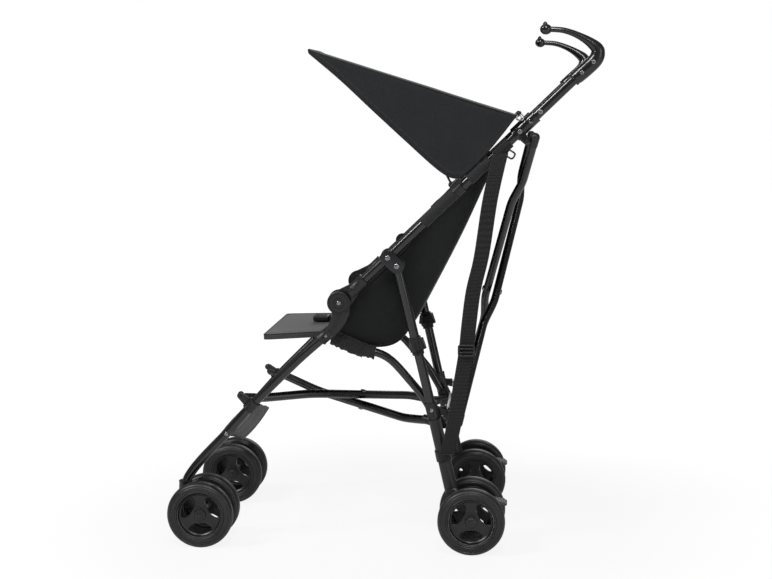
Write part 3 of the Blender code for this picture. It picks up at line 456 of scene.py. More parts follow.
def raised(tree, shader, height, strength, depth, **under):
    """Bump of a depth in metres, over another bump's Normal where one is given."""
    inputs = {"Height": height, "Strength": strength, "Distance": depth, **under}
    normal = add(tree, "Bump", inputs).outputs["Normal"]
    tree.links.new(normal, shader.inputs["Normal"])
    return normal


def surface_finish(name, slot, **values):
    """A material, its tree, its shader set to these constants, and Object coordinates. The slot is not used.
    """
    material = bpy.data.materials.new(name)
    material.use_nodes = True
    tree = material.node_tree
    shader = tree.nodes["Principled BSDF"]
    for key, value in values.items():
        shader.inputs[key.replace("_", " ")].default_value = value
    return material, tree, shader, add(tree, "TexCoord").outputs["Object"]


def mottle(tree, shader, spot, size, low, high, rough_low, rough_high):
    """Colour and roughness that vary over patches of about this size."""
    patches = add(tree, "TexNoise", {"Vector": spot, "Scale": 1 / size, "Detail": 4.0, "Roughness": 0.6})
    spread = ranged(tree, patches.outputs["Fac"], From_Min=0.3, From_Max=0.7)
    tone = blended(tree, spread, low, high)
    tree.links.new(tone, shader.inputs["Base Color"])
    tree.links.new(ranged(tree, spread, To_Min=rough_low, To_Max=rough_high), shader.inputs["Roughness"])
    return tone


def grain(tree, shader, spot, size, depth):
    """A fine grain as bump, with its size and depth in metres."""
    texture = add(tree, "TexNoise", {"Vector": spot, "Scale": 1 / size, "Detail": 3.0, "Roughness": 0.55})
    raised(tree, shader, texture.outputs["Fac"], 0.5, depth)


def moulding(name, slot, low, high, rough, size, depth, **values):
    """A plain hard finish: patches of tone, and grain."""
    material, tree, shader, spot = surface_finish(name, slot, **values)
    mottle(tree, shader, spot, 0.045, low, high, rough - 0.05, rough + 0.07)
    grain(tree, shader, spot, size, depth)
    return material


def bright_metal(name, patch, low, high, rough_low, rough_high, size, depth):
    material, tree, shader, spot = surface_finish(name, "bare_steel", Metallic=1.0)
    mottle(tree, shader, spot, patch, low, high, rough_low, rough_high)
    grain(tree, shader, spot, size, depth)
    return material


def woven(name, slot, low, high):
    """Plain-weave cloth on the piece's UV map in metres: threads, patches of tone, and a stitched seam."""
    pitch, seam = 0.0013, 0.009
    material, tree, shader, body = surface_finish(
        name, slot, Sheen_Weight=0.12, Sheen_Roughness=0.45, Specular_IOR_Level=0.25
    )
    spot = add(tree, "UVMap").outputs["UV"]
    tone = mottle(tree, shader, body, 0.060, low, high, 0.76, 0.86)
    weave = plain_weave(tree, spot, pitch, 0.4)
    height = stitched(tree, tone, shader, spot, weave, seam)
    fine = raised(tree, shader, height, 0.6, pitch * 0.22)
    wide = add(tree, "TexNoise", {"Vector": body, "Scale": 22.0, "Detail": 3.0})
    raised(tree, shader, wide.outputs["Fac"], 0.35, 0.004, Normal=fine)
    return material


def stitched(tree, tone, shader, spot, height, seam):
    """Adds a line of stitches at this distance from the cloth's edge, and returns the new height."""
    thread, half_stitch, gap = 0.0009, 0.0040, 0.0011
    parts = add(tree, "SeparateXYZ", {"Vector": spot})
    near = worked(tree, "ABSOLUTE", worked(tree, "SUBTRACT", parts.outputs["X"], seam))
    line = worked(tree, "LESS_THAN", near, thread)
    dash = worked(tree, "GREATER_THAN", worked(tree, "PINGPONG", parts.outputs["Y"], half_stitch), gap)
    stitch = worked(tree, "MULTIPLY", line, dash)
    tree.links.new(blended(tree, stitch, tone, "#2c2c2f"), shader.inputs["Base Color"])
    return worked(tree, "ADD", height, stitch)


def ribbed_webbing(name, slot, low, high, pitch, depth):
    """Narrow webbing on its UV map in metres: raised picks across it and fine warp threads along it, its
    colour lighter on the picks and darker between them as painted highlight and painted shade.
    """
    warp_pitch = 0.0022
    material, tree, shader, body = surface_finish(
        name, slot, Sheen_Weight=0.15, Sheen_Roughness=0.5, Specular_IOR_Level=0.3, Roughness=0.72
    )
    spot = add(tree, "UVMap").outputs["UV"]
    ribs = threads(tree, spot, pitch, "Y", 0.8, 2.0)
    both = worked(tree, "MULTIPLY", ribs, threads(tree, spot, warp_pitch, "X", 0.5))
    # painted highlight and shade: the picks' relief also sets the colour, the high tone on their crests and
    # the low tone in the dips
    tree.links.new(blended(tree, both, low, high), shader.inputs["Base Color"])
    raised(tree, shader, both, 0.8, depth)
    return material


# Finishes
def powder_coated_steel():
    # Steel tube with baked black powder: a hard, fairly glossy film with a slight orange peel.
    tones = ("#040404", "#09090a")
    return moulding("PowderCoatedSteel", "black_tube", *tones, 0.24, 0.0050, 0.000006, Coat_Weight=0.35)


def pressed_plate():
    # Pressed steel plate, powder coated: the same film, duller from a thicker coat.
    return moulding("PressedPlate", "black_plate", "#0c0c0d", "#151516", 0.34, 0.0012, 0.00006)


def moulded_nylon():
    # Glass-filled nylon, spark-eroded mould: a fine matt grain and a soft highlight.
    return moulding("MouldedNylon", "black_plastic", "#0a0a0b", "#141415", 0.40, 0.0009, 0.00009)


def glossy_grip():
    # Smooth ABS handle, polished by hands: near black with clear highlights.
    return moulding("GripAbs", "grip", "#050505", "#0b0b0c", 0.25, 0.0060, 0.000006, Coat_Weight=0.3)


def wheel_rim():
    # Polypropylene rim: charcoal, a little waxy.
    return moulding("RimPolypropylene", "wheel", "#0b0b0c", "#151516", 0.34, 0.0010, 0.00006)


def foamed_tyre():
    # Foamed EVA tyre: matt charcoal, dusted lighter in patches where it has rolled.
    return moulding("FoamedTyre", "wheel", "#0e0e0f", "#19191a", 0.42, 0.0013, 0.00014)


def pedal_plastic():
    # Dark grey polypropylene, matt from its mould.
    return moulding("PedalPolypropylene", "grey_plastic", "#323234", "#404042", 0.48, 0.0010, 0.00010)


def plated_steel():
    # Zinc-plated flat steel: pale grey, a little cloudy, with soft reflections.
    return bright_metal("PlatedSteel", 0.006, "#77777a", "#a4a4a8", 0.24, 0.38, 0.0007, 0.00004)


def rivet_steel():
    # Plated steel rivets and screws: small, round and bright against the black frame.
    return bright_metal("RivetSteel", 0.003, "#6a6a6e", "#a0a0a4", 0.18, 0.30, 0.0006, 0.00003)


def canopy_polyester():
    # Coated polyester of the sun cover: dull charcoal black with a faint plain weave.
    return woven("CanopyPolyester", "canopy_cloth", "#17181a", "#1f2022")


def seat_polyester():
    # Polyester of the sling: the same weave without the coat, a little darker.
    return woven("SeatPolyester", "seat_cloth", "#121314", "#1a1b1c")


def hem_polyester():
    # The same polyester as the seat, gathered on its tube, with creases from folding; its tones are darker
    # than the seat's, as painted shade in the gathers.
    tones = ("#0a0a0b", "#161617")
    return moulding("GatheredPolyester", "seat_cloth", *tones, 0.80, 0.0030, 0.0012, Sheen_Weight=0.12)


def board_cover():
    # Smooth polyester over thin foam on a stiff board: charcoal, its tones painted lighter than the seat's
    # cloth as painted top light, and brighter still where light grazes it.
    pitch = 0.0014
    sheen = {"Sheen_Weight": 0.55, "Sheen_Roughness": 0.35}
    material, tree, shader, spot = surface_finish("BoardCover", "seat_cloth", **sheen)
    mottle(tree, shader, spot, 0.050, "#26262a", "#303034", 0.52, 0.64)
    raised(tree, shader, plain_weave(tree, spot, pitch, 0.5), 0.5, 0.0003)
    return material


def binding_tape():
    # Folded polyester tape sewn over cut edges: near black, finely ribbed.
    return ribbed_webbing("BindingTape", "webbing", "#070707", "#111112", 0.0020, 0.0003)


def strap_webbing():
    # Polypropylene webbing: coarse picks, slightly shiny, with painted shade between them.
    return ribbed_webbing("StrapWebbing", "webbing", "#070707", "#222223", 0.0034, 0.0009)


def harness_webbing():
    # Softer, finer webbing of the harness: an even dull black.
    return ribbed_webbing("HarnessWebbing", "webbing", "#080808", "#1a1a1b", 0.0022, 0.0004)


def footrest_webbing():
    # Stiff webbing of the footrest: its grey tone is painted light from above, and its picks are lighter as a
    # painted highlight.
    return ribbed_webbing("FootrestWebbing", "footrest_webbing", "#1c1c1e", "#58585c", 0.0036, 0.0011)


STEEL = powder_coated_steel()
PLATE = pressed_plate()
NYLON = moulded_nylon()
GRIP = glossy_grip()
RIM = wheel_rim()
TYRE = foamed_tyre()
PEDAL = pedal_plastic()
ZINC = plated_steel()
RIVET = rivet_steel()
CANOPY_CLOTH = canopy_polyester()
SEAT_CLOTH = seat_polyester()
SEAT_HEM = hem_polyester()
BOARD_CLOTH = board_cover()
BINDING = binding_tape()
WEBBING = strap_webbing()
HARNESS_WEBBING = harness_webbing()
FOOT_WEBBING = footrest_webbing()


# Frame tubes
def upper_tube(side, suffix):
    """The upper tube, the rivets through its side bracket, and the screws of the upper bracket."""
    screws = ((0.3374, TUBE), (0.3657, COLLAR), (0.3865, COLLAR), (0.4045, TUBE))
    reach = PLATE_OUT + 0.0006
    body = "frame" + suffix
    bm = bmesh.new()
    sweep(bm, along_tube(side, TUBE_RUN), TUBE, 36)
    held(finished("upper_tube_skin" + suffix, bm, STEEL), body, "upper_tube" + suffix)
    pivots = (on_tube(BRACKET_ON_TUBE), LEG_TOP)
    spots = [spot for pivot in pivots for spot in both_faces(side, reach, pivot, PIVOT_HEAD)]
    heads("frame_rivets" + suffix, body, spots)
    spots = [spot for y, out in screws for spot in both_faces(side, out - 0.0003, on_tube(y), TUBE_SCREW)]
    heads("tube_screws" + suffix, body, spots, screw)


HANDLE_PATH = [
    (0.4690, 0.9420), (0.4850, 0.9560), (0.5021, 0.9718), (0.5094, 0.9822), (0.5112, 0.9925),
    (0.5090, 0.9985), (0.5035, 1.0043), (0.4919, 1.0128), (0.4768, 1.0213), (0.4618, 1.0278),
    (0.4458, 1.0325), (0.4300, 1.0342), (0.4130, 1.0348),
]
HANDLE_WIDTHS = [
    0.0132, 0.0141, 0.0141, 0.0138, 0.0130, 0.0120, 0.0108, 0.0086, 0.0068, 0.0059, 0.0055, 0.0053, 0.0053,
]
HANDLE_MOUTH = 0.0122
HANDLE_BALL = 0.0105


def handle(side, suffix):
    """Sleeve on the tube, bent forward into a tapered hook with a ball at its tip, and two screws."""
    body = "frame" + suffix
    bm = bmesh.new()
    path = [place(side, 0, point) for point in HANDLE_PATH]
    widths = [curve_through(HANDLE_WIDTHS, share) for share in shares(48)]
    widths[0] = HANDLE_MOUTH
    sweep(bm, [curve_through(path, share) for share in shares(48)], widths, 36)
    tip = path[-1]
    ball(bm, tip, HANDLE_BALL, 32, 20, (0.92, 1.08, 0.96))
    nub = [tip + Vector((0, *spot)) for spot in ((-0.0010, 0.0060), (-0.0016, 0.0108), (-0.0012, 0.0142))]
    sweep(bm, nub, [0.0062, 0.0042, 0.0018], 20)
    sleeve(bm, *along_tube(side, HANDLE_COLLAR), 0.0128, lip=0.0003)
    held(finished("handle_skin" + suffix, bm, GRIP), body, "handle_grip" + suffix)
    points = ((0.4812, 0.9540), (0.5025, 0.9740))
    spots = [spot for point in points for spot in both_faces(side, 0.0136, point, HANDLE_SCREW)]
    heads("handle_screws" + suffix, body, spots, screw)


def front_leg(side, suffix):
    path = [place(side, 0, FRONT_TOP - FRONT_HEADING * 0.016)]
    path += [place(side, lean, (y, up)) for lean, y, up in FRONT_PATH]
    bm = bmesh.new()
    sweep(bm, bent(path), TUBE, 36)
    held(finished("front_leg_skin" + suffix, bm, STEEL), "front_leg" + suffix, "front_leg" + suffix)


def rear_leg(side, suffix):
    """The rear leg with the eye that its upper pivot goes through, and the rivets of its bracket."""
    edge = 0.85 * TUBE
    eye = [(0, -TUBE), (edge, -TUBE), (TUBE, -TUBE * 0.8), (TUBE, TUBE * 0.8), (edge, TUBE), (0, TUBE)]
    bm = bmesh.new()
    top = place(side, 0, LEG_TOP)
    sweep(bm, [top, place(side, 0, on_leg(0.2000))], TUBE, 36)
    turned(bm, eye, facing(top, outward(side)), 36)
    held(finished("rear_leg_skin" + suffix, bm, STEEL), "rear_leg" + suffix, "rear_leg" + suffix)
    spots = both_faces(side, 0.0129, on_leg(LEG_RIVET), LEG_HEAD)
    heads("rear_leg_rivets" + suffix, "rear_leg" + suffix, spots)


SEAT_TUBE_BENDS = [
    Vector((0.0567, 0.4010)), (0.0800, 0.3965), (0.0990, 0.3890), (0.1150, 0.3770), (0.1300, 0.3605),
    (0.1724, 0.3090),
]


def seat_tube(side, suffix):
    """The tube under each side of the seat, with a round eye and a rivet at both ends."""
    edge = 0.9 * SEAT_TUBE
    eye = [(0, -SEAT_TUBE), (SEAT_TUBE, -edge), (SEAT_TUBE, edge), (0, SEAT_TUBE)]
    ends = (SEAT_TUBE_FRONT, SEAT_TUBE_BACK)
    path = [place(side, SEAT_TUBE_LEAN, point) for point in (ends[0], *SEAT_TUBE_BENDS, ends[1])]
    bm = bmesh.new()
    sweep(bm, bent(path, 0.012, 4), SEAT_TUBE, 32)
    for pivot in (path[0], path[-1]):
        turned(bm, eye, facing(pivot, outward(side)), 32)
    held(finished("seat_tube_skin" + suffix, bm, STEEL), "seat_tube" + suffix, "seat_tube" + suffix)
    inner = SEAT_TUBE_LEAN - SEAT_TUBE
    spots = [(place(side, inner, point), -outward(side), *SEAT_TUBE_HEAD) for point in ends]
    heads("seat_tube_rivets" + suffix, "seat_tube" + suffix, spots)


def crossed_bar(name, body, path, pivots, head, radius):
    """A bar with eased bends, a moulded cap with a ball at each end, and the rivet where the bars cross."""
    cap_radius, cap_length, pin, knuckle = radius + 0.0007, 0.020, 0.0048, 0.0065
    bm = bmesh.new()
    sweep(bm, bent(path), radius, 30)
    suffix = body[-2:]
    held(finished(name + "_skin" + suffix, bm, STEEL), body, body)
    bm = bmesh.new()
    for pivot, end, inner in zip(pivots, (path[0], path[-1]), (path[1], path[-2])):
        sweep(bm, [end, end + (inner - end).normalized() * cap_length], cap_radius, 30)
        ball(bm, end, cap_radius)
        sweep(bm, [pivot, end], pin, 20)
        ball(bm, pivot, knuckle)
    held(finished(name + "_caps" + suffix, bm, NYLON), body)
    heads(name + "_rivet" + suffix, body, [head])


# Where along a crossed bar its bends are, and how much of its shift aside it has there
REAR_BENDS = ((0.14, 0), (0.18, 0.5), (0.22, 1), (0.60, 1), (0.64, 0.5), (0.68, 0))
LOW_BENDS = ((0.10, 0), (0.21, 0.5), (0.32, 1), (0.80, 1), (0.865, 0.5), (0.925, 0))


def rear_bar(side, suffix):
    """Crossed bar behind the seat, from this side's upper bracket to the other side's leg bracket."""
    top, foot = place(side, 0, REAR_BAR_TOP), place(-side, 0, REAR_BAR_FOOT)
    heading = (foot - top).normalized()
    spacing = REAR_NORMAL * 0.013
    moved = REAR_NORMAL * (-0.0105 * side)
    path = [top - heading * 0.014 + spacing]
    for share, weight in REAR_BENDS:
        path.append(top.lerp(foot, share) + spacing + moved * weight)
    path.append(foot + heading * 0.012 + spacing)
    crossing = top.lerp(foot, top.x / (top.x - foot.x)) + spacing + moved
    face = -REAR_NORMAL * side
    head = (crossing + face * (BAR - 0.0002), face, *REAR_BAR_HEAD)
    crossed_bar("rear_bar", "rear_x_bar" + suffix, path, (top, foot), head, BAR)


def low_bar(side, suffix):
    """Crossed bar under the seat, from this side's front leg to the other side's leg bracket."""
    front = place(side, LOW_FRONT_LEAN, LOW_BAR_FRONT)
    back = place(-side, LOW_BACK_LEAN, LOW_BAR_BACK)
    heading = (back - front).normalized()
    lift = heading.cross(Vector((1, 0, 0))).normalized()
    lift = lift if lift.z > 0 else -lift
    rise, drop = lift * 0.0110 * side, lift * -0.0070
    path = [front + heading * 0.012 + drop]
    for share, weight in LOW_BENDS:
        path.append(front.lerp(back, share) + rise * weight + drop)
    path.append(back - heading * 0.030 + drop)
    crossing = front.lerp(back, front.x / (front.x - back.x)) + drop + rise
    head = (crossing + lift * side * (LOW_BAR - 0.0002), lift * side, *LOW_BAR_HEAD)
    crossed_bar("low_bar", "bottom_x_bar" + suffix, path, (front, back), head, LOW_BAR)


# Moulded joints
def stadium(bm, side, first, second, radius, low, high):
    """A flat lever round two circles of the side frame, from one lean to the other, with eased edges."""
    heading = math.atan2(second.y - first.y, second.x - first.x)
    rim = []
    for centre, start in ((second, heading - math.pi / 2), (first, heading + math.pi / 2)):
        for share in shares(20):
            angle = start + math.pi * share
            point = centre + Vector((math.cos(angle), math.sin(angle))) * radius
            rim.append(bm.verts.new(place(side, low, point)))
    fresh = block_from(bm, rim, outward(side) * (high - low))
    rims = {edge for vertex in rim + fresh for edge in vertex.link_edges if edge.calc_face_angle(0) > 1.2}
    bmesh.ops.bevel(bm, geom=list(rims), offset=0.0007, segments=3, affect="EDGES", profile=0.5, material=-1)


def side_bracket(side, suffix):
    """The two oval plates that carry the rear leg's upper pivot."""
    bm = bmesh.new()
    for low, high in ((PLATE_IN, PLATE_OUT), (-PLATE_OUT, -PLATE_IN)):
        stadium(bm, side, on_tube(BRACKET_ON_TUBE), LEG_TOP, 0.0150, low, high)
    held(finished("side_bracket_skin" + suffix, bm, PLATE), "frame" + suffix, "side_bracket" + suffix)


def knee_cheek(bm, side, way):
    """One round cheek of the knee, with two grooves round its middle."""
    face, back = KNEE_HALF + 0.0016, 0.0053
    groove, ease = face - 0.0009, face - 0.0006
    radius = KNEE_DISC + 0.0004
    profile = [
        (0, ease), (0.0062, ease), (0.0068, face), (0.0098, face), (0.0102, groove), (0.0114, groove),
        (0.0118, face), (0.0182, face), (0.0186, groove), (0.0198, groove), (0.0202, face),
        (radius - 0.0012, face), (radius, face - 0.0012), (radius, back), (0, back),
    ]
    turned(bm, profile, facing(place(side, 0, KNEE), outward(side) * way), 56)


def knee(side, suffix):
    """The disc hinge between upper tube and front leg, its neck on the leg and its sleeve on the tube."""
    lower, upper = "front_leg" + suffix, "frame" + suffix
    bm = bmesh.new()
    for way in (1, -1):
        knee_cheek(bm, side, way)
    neck = [place(side, 0, FRONT_TOP + FRONT_HEADING * along) for along in (-0.010, 0.0205)]
    sleeve(bm, *neck, COLLAR)
    held(finished("knee_cheeks" + suffix, bm, NYLON), lower)
    eased("knee_lower" + suffix, lower, NYLON)
    bm = bmesh.new()
    sleeve(bm, *along_tube(side, KNEE_SLEEVE), COLLAR)
    held(finished("knee_sleeve" + suffix, bm, NYLON), upper)
    eased("knee_upper" + suffix, upper, NYLON)
    spots = both_faces(side, KNEE_HALF + 0.0010, KNEE, KNEE_HEAD)
    spots += both_faces(side, COLLAR - 0.0002, FRONT_TOP + FRONT_HEADING * 0.004, NECK_HEAD)
    heads("knee_rivets" + suffix, lower, spots)


def collars(side, suffix):
    """The moulded brackets that keep their CAD shape, each with a round sleeve over its collar."""
    start, end = FRONT_BENDS[1:3]
    heading = (end - start).normalized()
    foot = start + heading * (LOW_BAR_FRONT - start).dot(heading)
    rings = (
        ("x_bracket_upper", "frame", STEEL, *[on_tube(y) for y in UPPER_BRACKET]),
        ("canopy_clip", "frame", NYLON, on_tube(CANOPY_CLIP - 0.0034), on_tube(CANOPY_CLIP + 0.0094)),
        ("front_bracket", "front_leg", NYLON, foot - heading * 0.0123, foot + heading * 0.0123),
        ("rear_leg_bracket", "rear_leg", NYLON, *[on_leg(up) for up in LEG_BRACKET]),
    )
    for node, body, finish, first, last in rings:
        bm = bmesh.new()
        sleeve(bm, place(side, 0, first), place(side, 0, last), COLLAR, lip=0.0002)
        held(finished(node + "_ring" + suffix, bm, finish), body + suffix, slot="black_plastic")
        eased(node + suffix, body + suffix, finish, slot="black_plastic")


def clamp(side, suffix):
    """Moulded clamp on the upper tube that the canopy's bow plugs into."""
    start, end = along_tube(side, (0.20, 0.30))
    along = (end - start).normalized()
    above = outward(side).cross(along) * side
    above = above if above.z > 0 else -above
    pose = Matrix((along, outward(side), above)).transposed().to_4x4()
    pose.translation = place(side, 0.0010, on_tube(CANOPY_CLIP + 0.0050, 0.0115))
    bm = bmesh.new()
    rounded_block(bm, (0.0250, 0.0190, 0.0150), 0.0036)
    bmesh.ops.transform(bm, matrix=pose, verts=bm.verts)
    held(finished("canopy_clamp" + suffix, bm, NYLON), "frame" + suffix)


def lock_link(side, suffix):
    eased("lock_link" + suffix, "lock_link" + suffix, ZINC, 0.0004)


# Wheels and what carries them
# The tyre's section, as radii and heights: two raised rings on each wall and a groove beside the tread
TYRE_WALL = [
    (0.0464, 0.0100), (0.0470, 0.0126), (0.0484, 0.0135), (0.0500, 0.0134), (0.0508, 0.0126),
    (0.0518, 0.0134), (0.0560, 0.0143), (0.0588, 0.0145), (0.0600, 0.0136), (0.0611, 0.0142),
    (0.0632, 0.0134), (0.0655, 0.0110), (0.0668, 0.0084), (0.0673, 0.0062), (0.0664, 0.0052),
    (0.0673, 0.0042), (WHEEL_RADIUS, 0.0020),
]
TYRE_PROFILE = TYRE_WALL + [(radius, -height) for radius, height in reversed(TYRE_WALL)]
# The rim's section, from the outer face of its hub round to the inner one
RIM_PROFILE = [
    (0, 0.0084), (0.0050, 0.0082), (0.0060, 0.0076), (0.0063, 0.0068), (0.0100, 0.0070), (0.0116, 0.0063),
    (0.0126, 0.0046), (0.0180, 0.0034), (0.0330, 0.0030), (0.0400, 0.0038), (0.0424, 0.0058),
    (0.0434, 0.0106), (0.0444, 0.0118), (0.0462, 0.0118), (0.0468, 0.0110), (0.0468, -0.0110),
    (0.0458, -0.0118), (0.0442, -0.0116), (0.0431, -0.0100), (0.0422, -0.0040), (0.0400, -0.0028),
    (0.0150, -0.0030), (0.0112, -0.0040), (0.0105, -0.0142), (0.0046, -0.0142), (0.0046, 0.0038),
    (0, 0.0038),
]
# The outline of a window, as degrees from its middle and radii
WINDOW = (
    (-33, 0.0395), (0, 0.0405), (33, 0.0395), (41, 0.0330), (30, 0.0215), (0, 0.0178), (-30, 0.0215),
    (-41, 0.0330),
)


def window_cutter(middle):
    """One kidney-shaped opening between two spokes, as a closed block."""
    outline = []
    for angle, radius in WINDOW:
        turn = math.radians(middle + angle)
        outline.append(Vector((radius * math.cos(turn), radius * math.sin(turn), -0.02)))
    looped = outline[-1:] + outline + outline[:2]
    bm = bmesh.new()
    rim = []
    for index in range(len(outline)):
        for part in range(6):
            rim.append(bm.verts.new(curve_through(looped[index:index + 4], (1 + part / 6) / 3)))
    block_from(bm, rim, (0, 0, 0.04))
    return finished("window", bm, RIM)


def wheel_mesh():
    """Rim with three spokes and a tyre round it, about the Z axis, with +Z the outer face."""
    bm = bmesh.new()
    turned(bm, RIM_PROFILE, Matrix.Identity(4), 72)
    rim = finished("rim", bm, [RIM, TYRE])
    cutters = [window_cutter(middle) for middle in (30, 150, 270)]
    for cutter in cutters:
        modified(rim, "BOOLEAN", operation="DIFFERENCE", object=cutter)
    modified(rim, "BEVEL", width=0.0007, segments=2, limit_method="ANGLE", angle_limit=math.radians(50))
    applied(rim)
    bm = bmesh.new()
    bm.from_mesh(rim.data)
    known = set(bm.faces)
    turned(bm, TYRE_PROFILE, Matrix.Identity(4), 96, closed=True)
    for face in bm.faces:
        face.material_index = 0 if face in known else 1
    for spare in [rim, *cutters]:
        bpy.data.objects.remove(spare)
    return bm


def wheels():
    pattern = finished("wheel_pattern", wheel_mesh(), [RIM, TYRE], 32)
    for side, suffix in SIDES.items():
        for position, y, spread in AXLES:
            for part, sign in (("outer", 1), ("inner", -1)):
                name = f"wheel_{position}_{part}{suffix}"
                way = side * sign
                pose = Matrix(((0, 0, way), (way, 0, 0), (0, 1, 0))).to_4x4()
                pose.translation = (side * (WHEEL_MIDDLE + sign * spread), y + SHIFT_BACK, WHEEL_RADIUS)
                mesh = pattern.data.copy()
                mesh.transform(pose)
                made = bpy.data.objects.new(name + "_skin", mesh)
                bpy.context.scene.collection.objects.link(made)
                held(made, name, name)
    bpy.data.objects.remove(pattern)


def caster(side, suffix):
    """The socket at the front leg's foot and the fork that turns in it."""
    foot, top = [Vector((side * WHEEL_MIDDLE, CASTER + SHIFT_BACK, z)) for z in CASTER_SOCKET]
    bm = bmesh.new()
    sleeve(bm, foot, top, 0.0134, 0.0124, 0.0005)
    held(finished("caster_socket" + suffix, bm, NYLON), "front_leg" + suffix)
    eased("caster_housing" + suffix, "front_leg" + suffix, NYLON)
    eased("caster_fork" + suffix, "caster" + suffix, NYLON, 0.0012)


def rear_foot(side, suffix):
    bm = bmesh.new()
    sleeve(bm, *along_leg(side, FOOT_SLEEVE), 0.0122, 0.0140, 0.0004, 48)
    held(finished("rear_foot_sleeve" + suffix, bm, NYLON), "rear_leg" + suffix)
    eased("rear_axle_housing" + suffix, "rear_leg" + suffix, NYLON, 0.0010, name="rear_foot_skin")


def brake_pedal(side, suffix):
    """The brake pedal's own shape with grip ribs across its top, which slopes down behind its crest."""
    first, spacing, crest, reach = 0.3085, 0.0052, 0.3160, 0.0155
    eased("brake_pedal" + suffix, "brake" + suffix, PEDAL, 0.0010)
    bm = bmesh.new()
    for number in range(7):
        y = first + number * spacing
        rise = 0.1014 if y < crest else 0.1030 - (y - crest) * 0.19
        ends = [Vector((side * WHEEL_MIDDLE + way * reach, y + SHIFT_BACK, rise)) for way in (-1, 1)]
        sweep(bm, ends, 0.0013, 12)
    held(finished("brake_ribs" + suffix, bm, PEDAL), "brake" + suffix)


# Sun canopy: how far back and how high its top edge and its lower hem are, from front to rear
CANOPY_ROWS = [
    ((-0.0480, 0.9995), (-0.0465, 0.9930)), ((0.0320, 0.9740), (0.0180, 0.9390)),
    ((0.1120, 0.9485), (0.0830, 0.8790)), ((0.1920, 0.9230), (0.1480, 0.8200)),
    ((0.2650, 0.8997), (0.2126, 0.7640)), ((0.2950, 0.8902), (0.2450, 0.7505)),
    ((0.3220, 0.8815), (0.2700, 0.7680)), ((0.3440, 0.8743), (0.3049, 0.8028)),
    ((0.3580, 0.8695), (0.3330, 0.8369)),
]
CANOPY_TOPS = [Vector(top) for top, low in CANOPY_ROWS]
CANOPY_LOWS = [Vector(low) for top, low in CANOPY_ROWS]
SIDE_SHARE = 0.3


def canopy_half(y):
    return 0.170 + (y + 0.048) * 0.150


def section(share, hem, edge, middle, round_off):
    """A place on half of a cloth's section, hem to rounded edge to middle, and its distance from the hem."""
    up, over = (edge - hem).length, (middle - edge).length
    run = share / SIDE_SHARE * up
    if share >= SIDE_SHARE:
        run = up + (share - SIDE_SHARE) / (0.5 - SIDE_SHARE) * over
    cut = min(round_off, 0.4 * up, 0.4 * over)
    if run < up - cut:
        return hem.lerp(edge, run / up), run
    if run > up + cut:
        return edge.lerp(middle, (run - up) / over), run
    turn = (run - up + cut) / (2 * cut)
    first, last = edge.lerp(hem, cut / up), edge.lerp(middle, cut / over)
    return first * (1 - turn) ** 2 + edge * 2 * turn * (1 - turn) + last * turn**2, run


def bulge(share, wide):
    """How far a cloth's side panel bows out of its plane."""
    return wide * math.sin(math.pi * share / SIDE_SHARE) if share < SIDE_SHARE else 0


def canopy_place(u, v):
    top, low = curve_through(CANOPY_TOPS, v), curve_through(CANOPY_LOWS, v)
    hem = Vector((canopy_half(low.x) + 0.001, low.x + SHIFT_BACK, low.y))
    edge = Vector((canopy_half(top.x), top.x + SHIFT_BACK, top.y))
    middle = Vector((0, top.x + SHIFT_BACK, top.y + 0.003))
    share = min(u, 1 - u)
    spot, run = section(share, hem, edge, middle, 0.009)
    spot.x -= bulge(share, 0.020 * (edge - hem).length)
    ripple = noise.noise(Vector((spot.x * 9, spot.y * 7, spot.z * 9 + 3.1)))
    spot += Vector((0.0020, 0, 0.0014)) * ripple * math.sin(math.pi * v)
    if u > 0.5:
        spot.x = -spot.x
    return spot, run


def canopy():
    """Sun cover: a stretched top with a three-cornered panel down each side, bound with tape all round."""
    def size(u, v):
        return canopy_place(u, v)[1], v * 0.43

    def line(spots):
        return [canopy_place(u, v)[0] for u, v in spots]

    made = cloth("canopy_cloth", lambda u, v: canopy_place(u, v)[0], 56, 40, size, CANOPY_CLOTH, 0.0012)
    all_along = shares(60)
    along = all_along[1:]
    hem = line((0, v) for v in all_along) + line((u, 1) for u in along)
    hem += line((1, 1 - v) for v in along) + line((1 - u, 0) for u in along)
    bm = bmesh.new()
    sweep(bm, hem, 0.0021, 12)
    tape = finished("canopy_binding", bm, BINDING)
    bm = bmesh.new()
    for edge in (SIDE_SHARE, 1 - SIDE_SHARE):
        sweep(bm, line((edge, v) for v in along), 0.0013, 10)
    seam = finished("canopy_seams", bm, BINDING)
    held(made, "canopy", "canopy")
    for piece in (tape, seam):
        held(piece, "canopy")
    return [made, tape, seam]


BOW_PATH = [(0.2180, 0.7690), (0.1500, 0.8270), (0.0300, 0.9330), (-0.0310, 0.9850)]


def canopy_bow():
    """The wire under the cover's edges, from one clip round its front to the other, with a ring at each."""
    hinge = place(1, 0, on_tube(CANOPY_CLIP, BOW_HINGE))
    half = []
    for y, z in [(hinge.y - SHIFT_BACK, hinge.z), *BOW_PATH]:
        half.append(Vector((canopy_half(y) - 0.0055, y + SHIFT_BACK, z)))
    half.append(Vector((canopy_half(-0.04) - 0.012, -0.0380 + SHIFT_BACK, 0.9905)))
    path = half + [Vector((-spot.x, spot.y, spot.z)) for spot in reversed(half)]
    ring = [(0.0026, -0.0028), (0.0050, -0.0028), (0.0054, 0), (0.0050, 0.0028), (0.0026, 0.0028)]
    bm = bmesh.new()
    sweep(bm, bent(path, 0.012, 5), 0.0022, 14)
    for spot, way in ((path[0], 1), (path[-1], -1)):
        turned(bm, ring, facing(spot, (way, 0, 0)), 28, closed=True)
    return [held(finished("canopy_bow_skin", bm, STEEL), "canopy", "canopy_bow")]


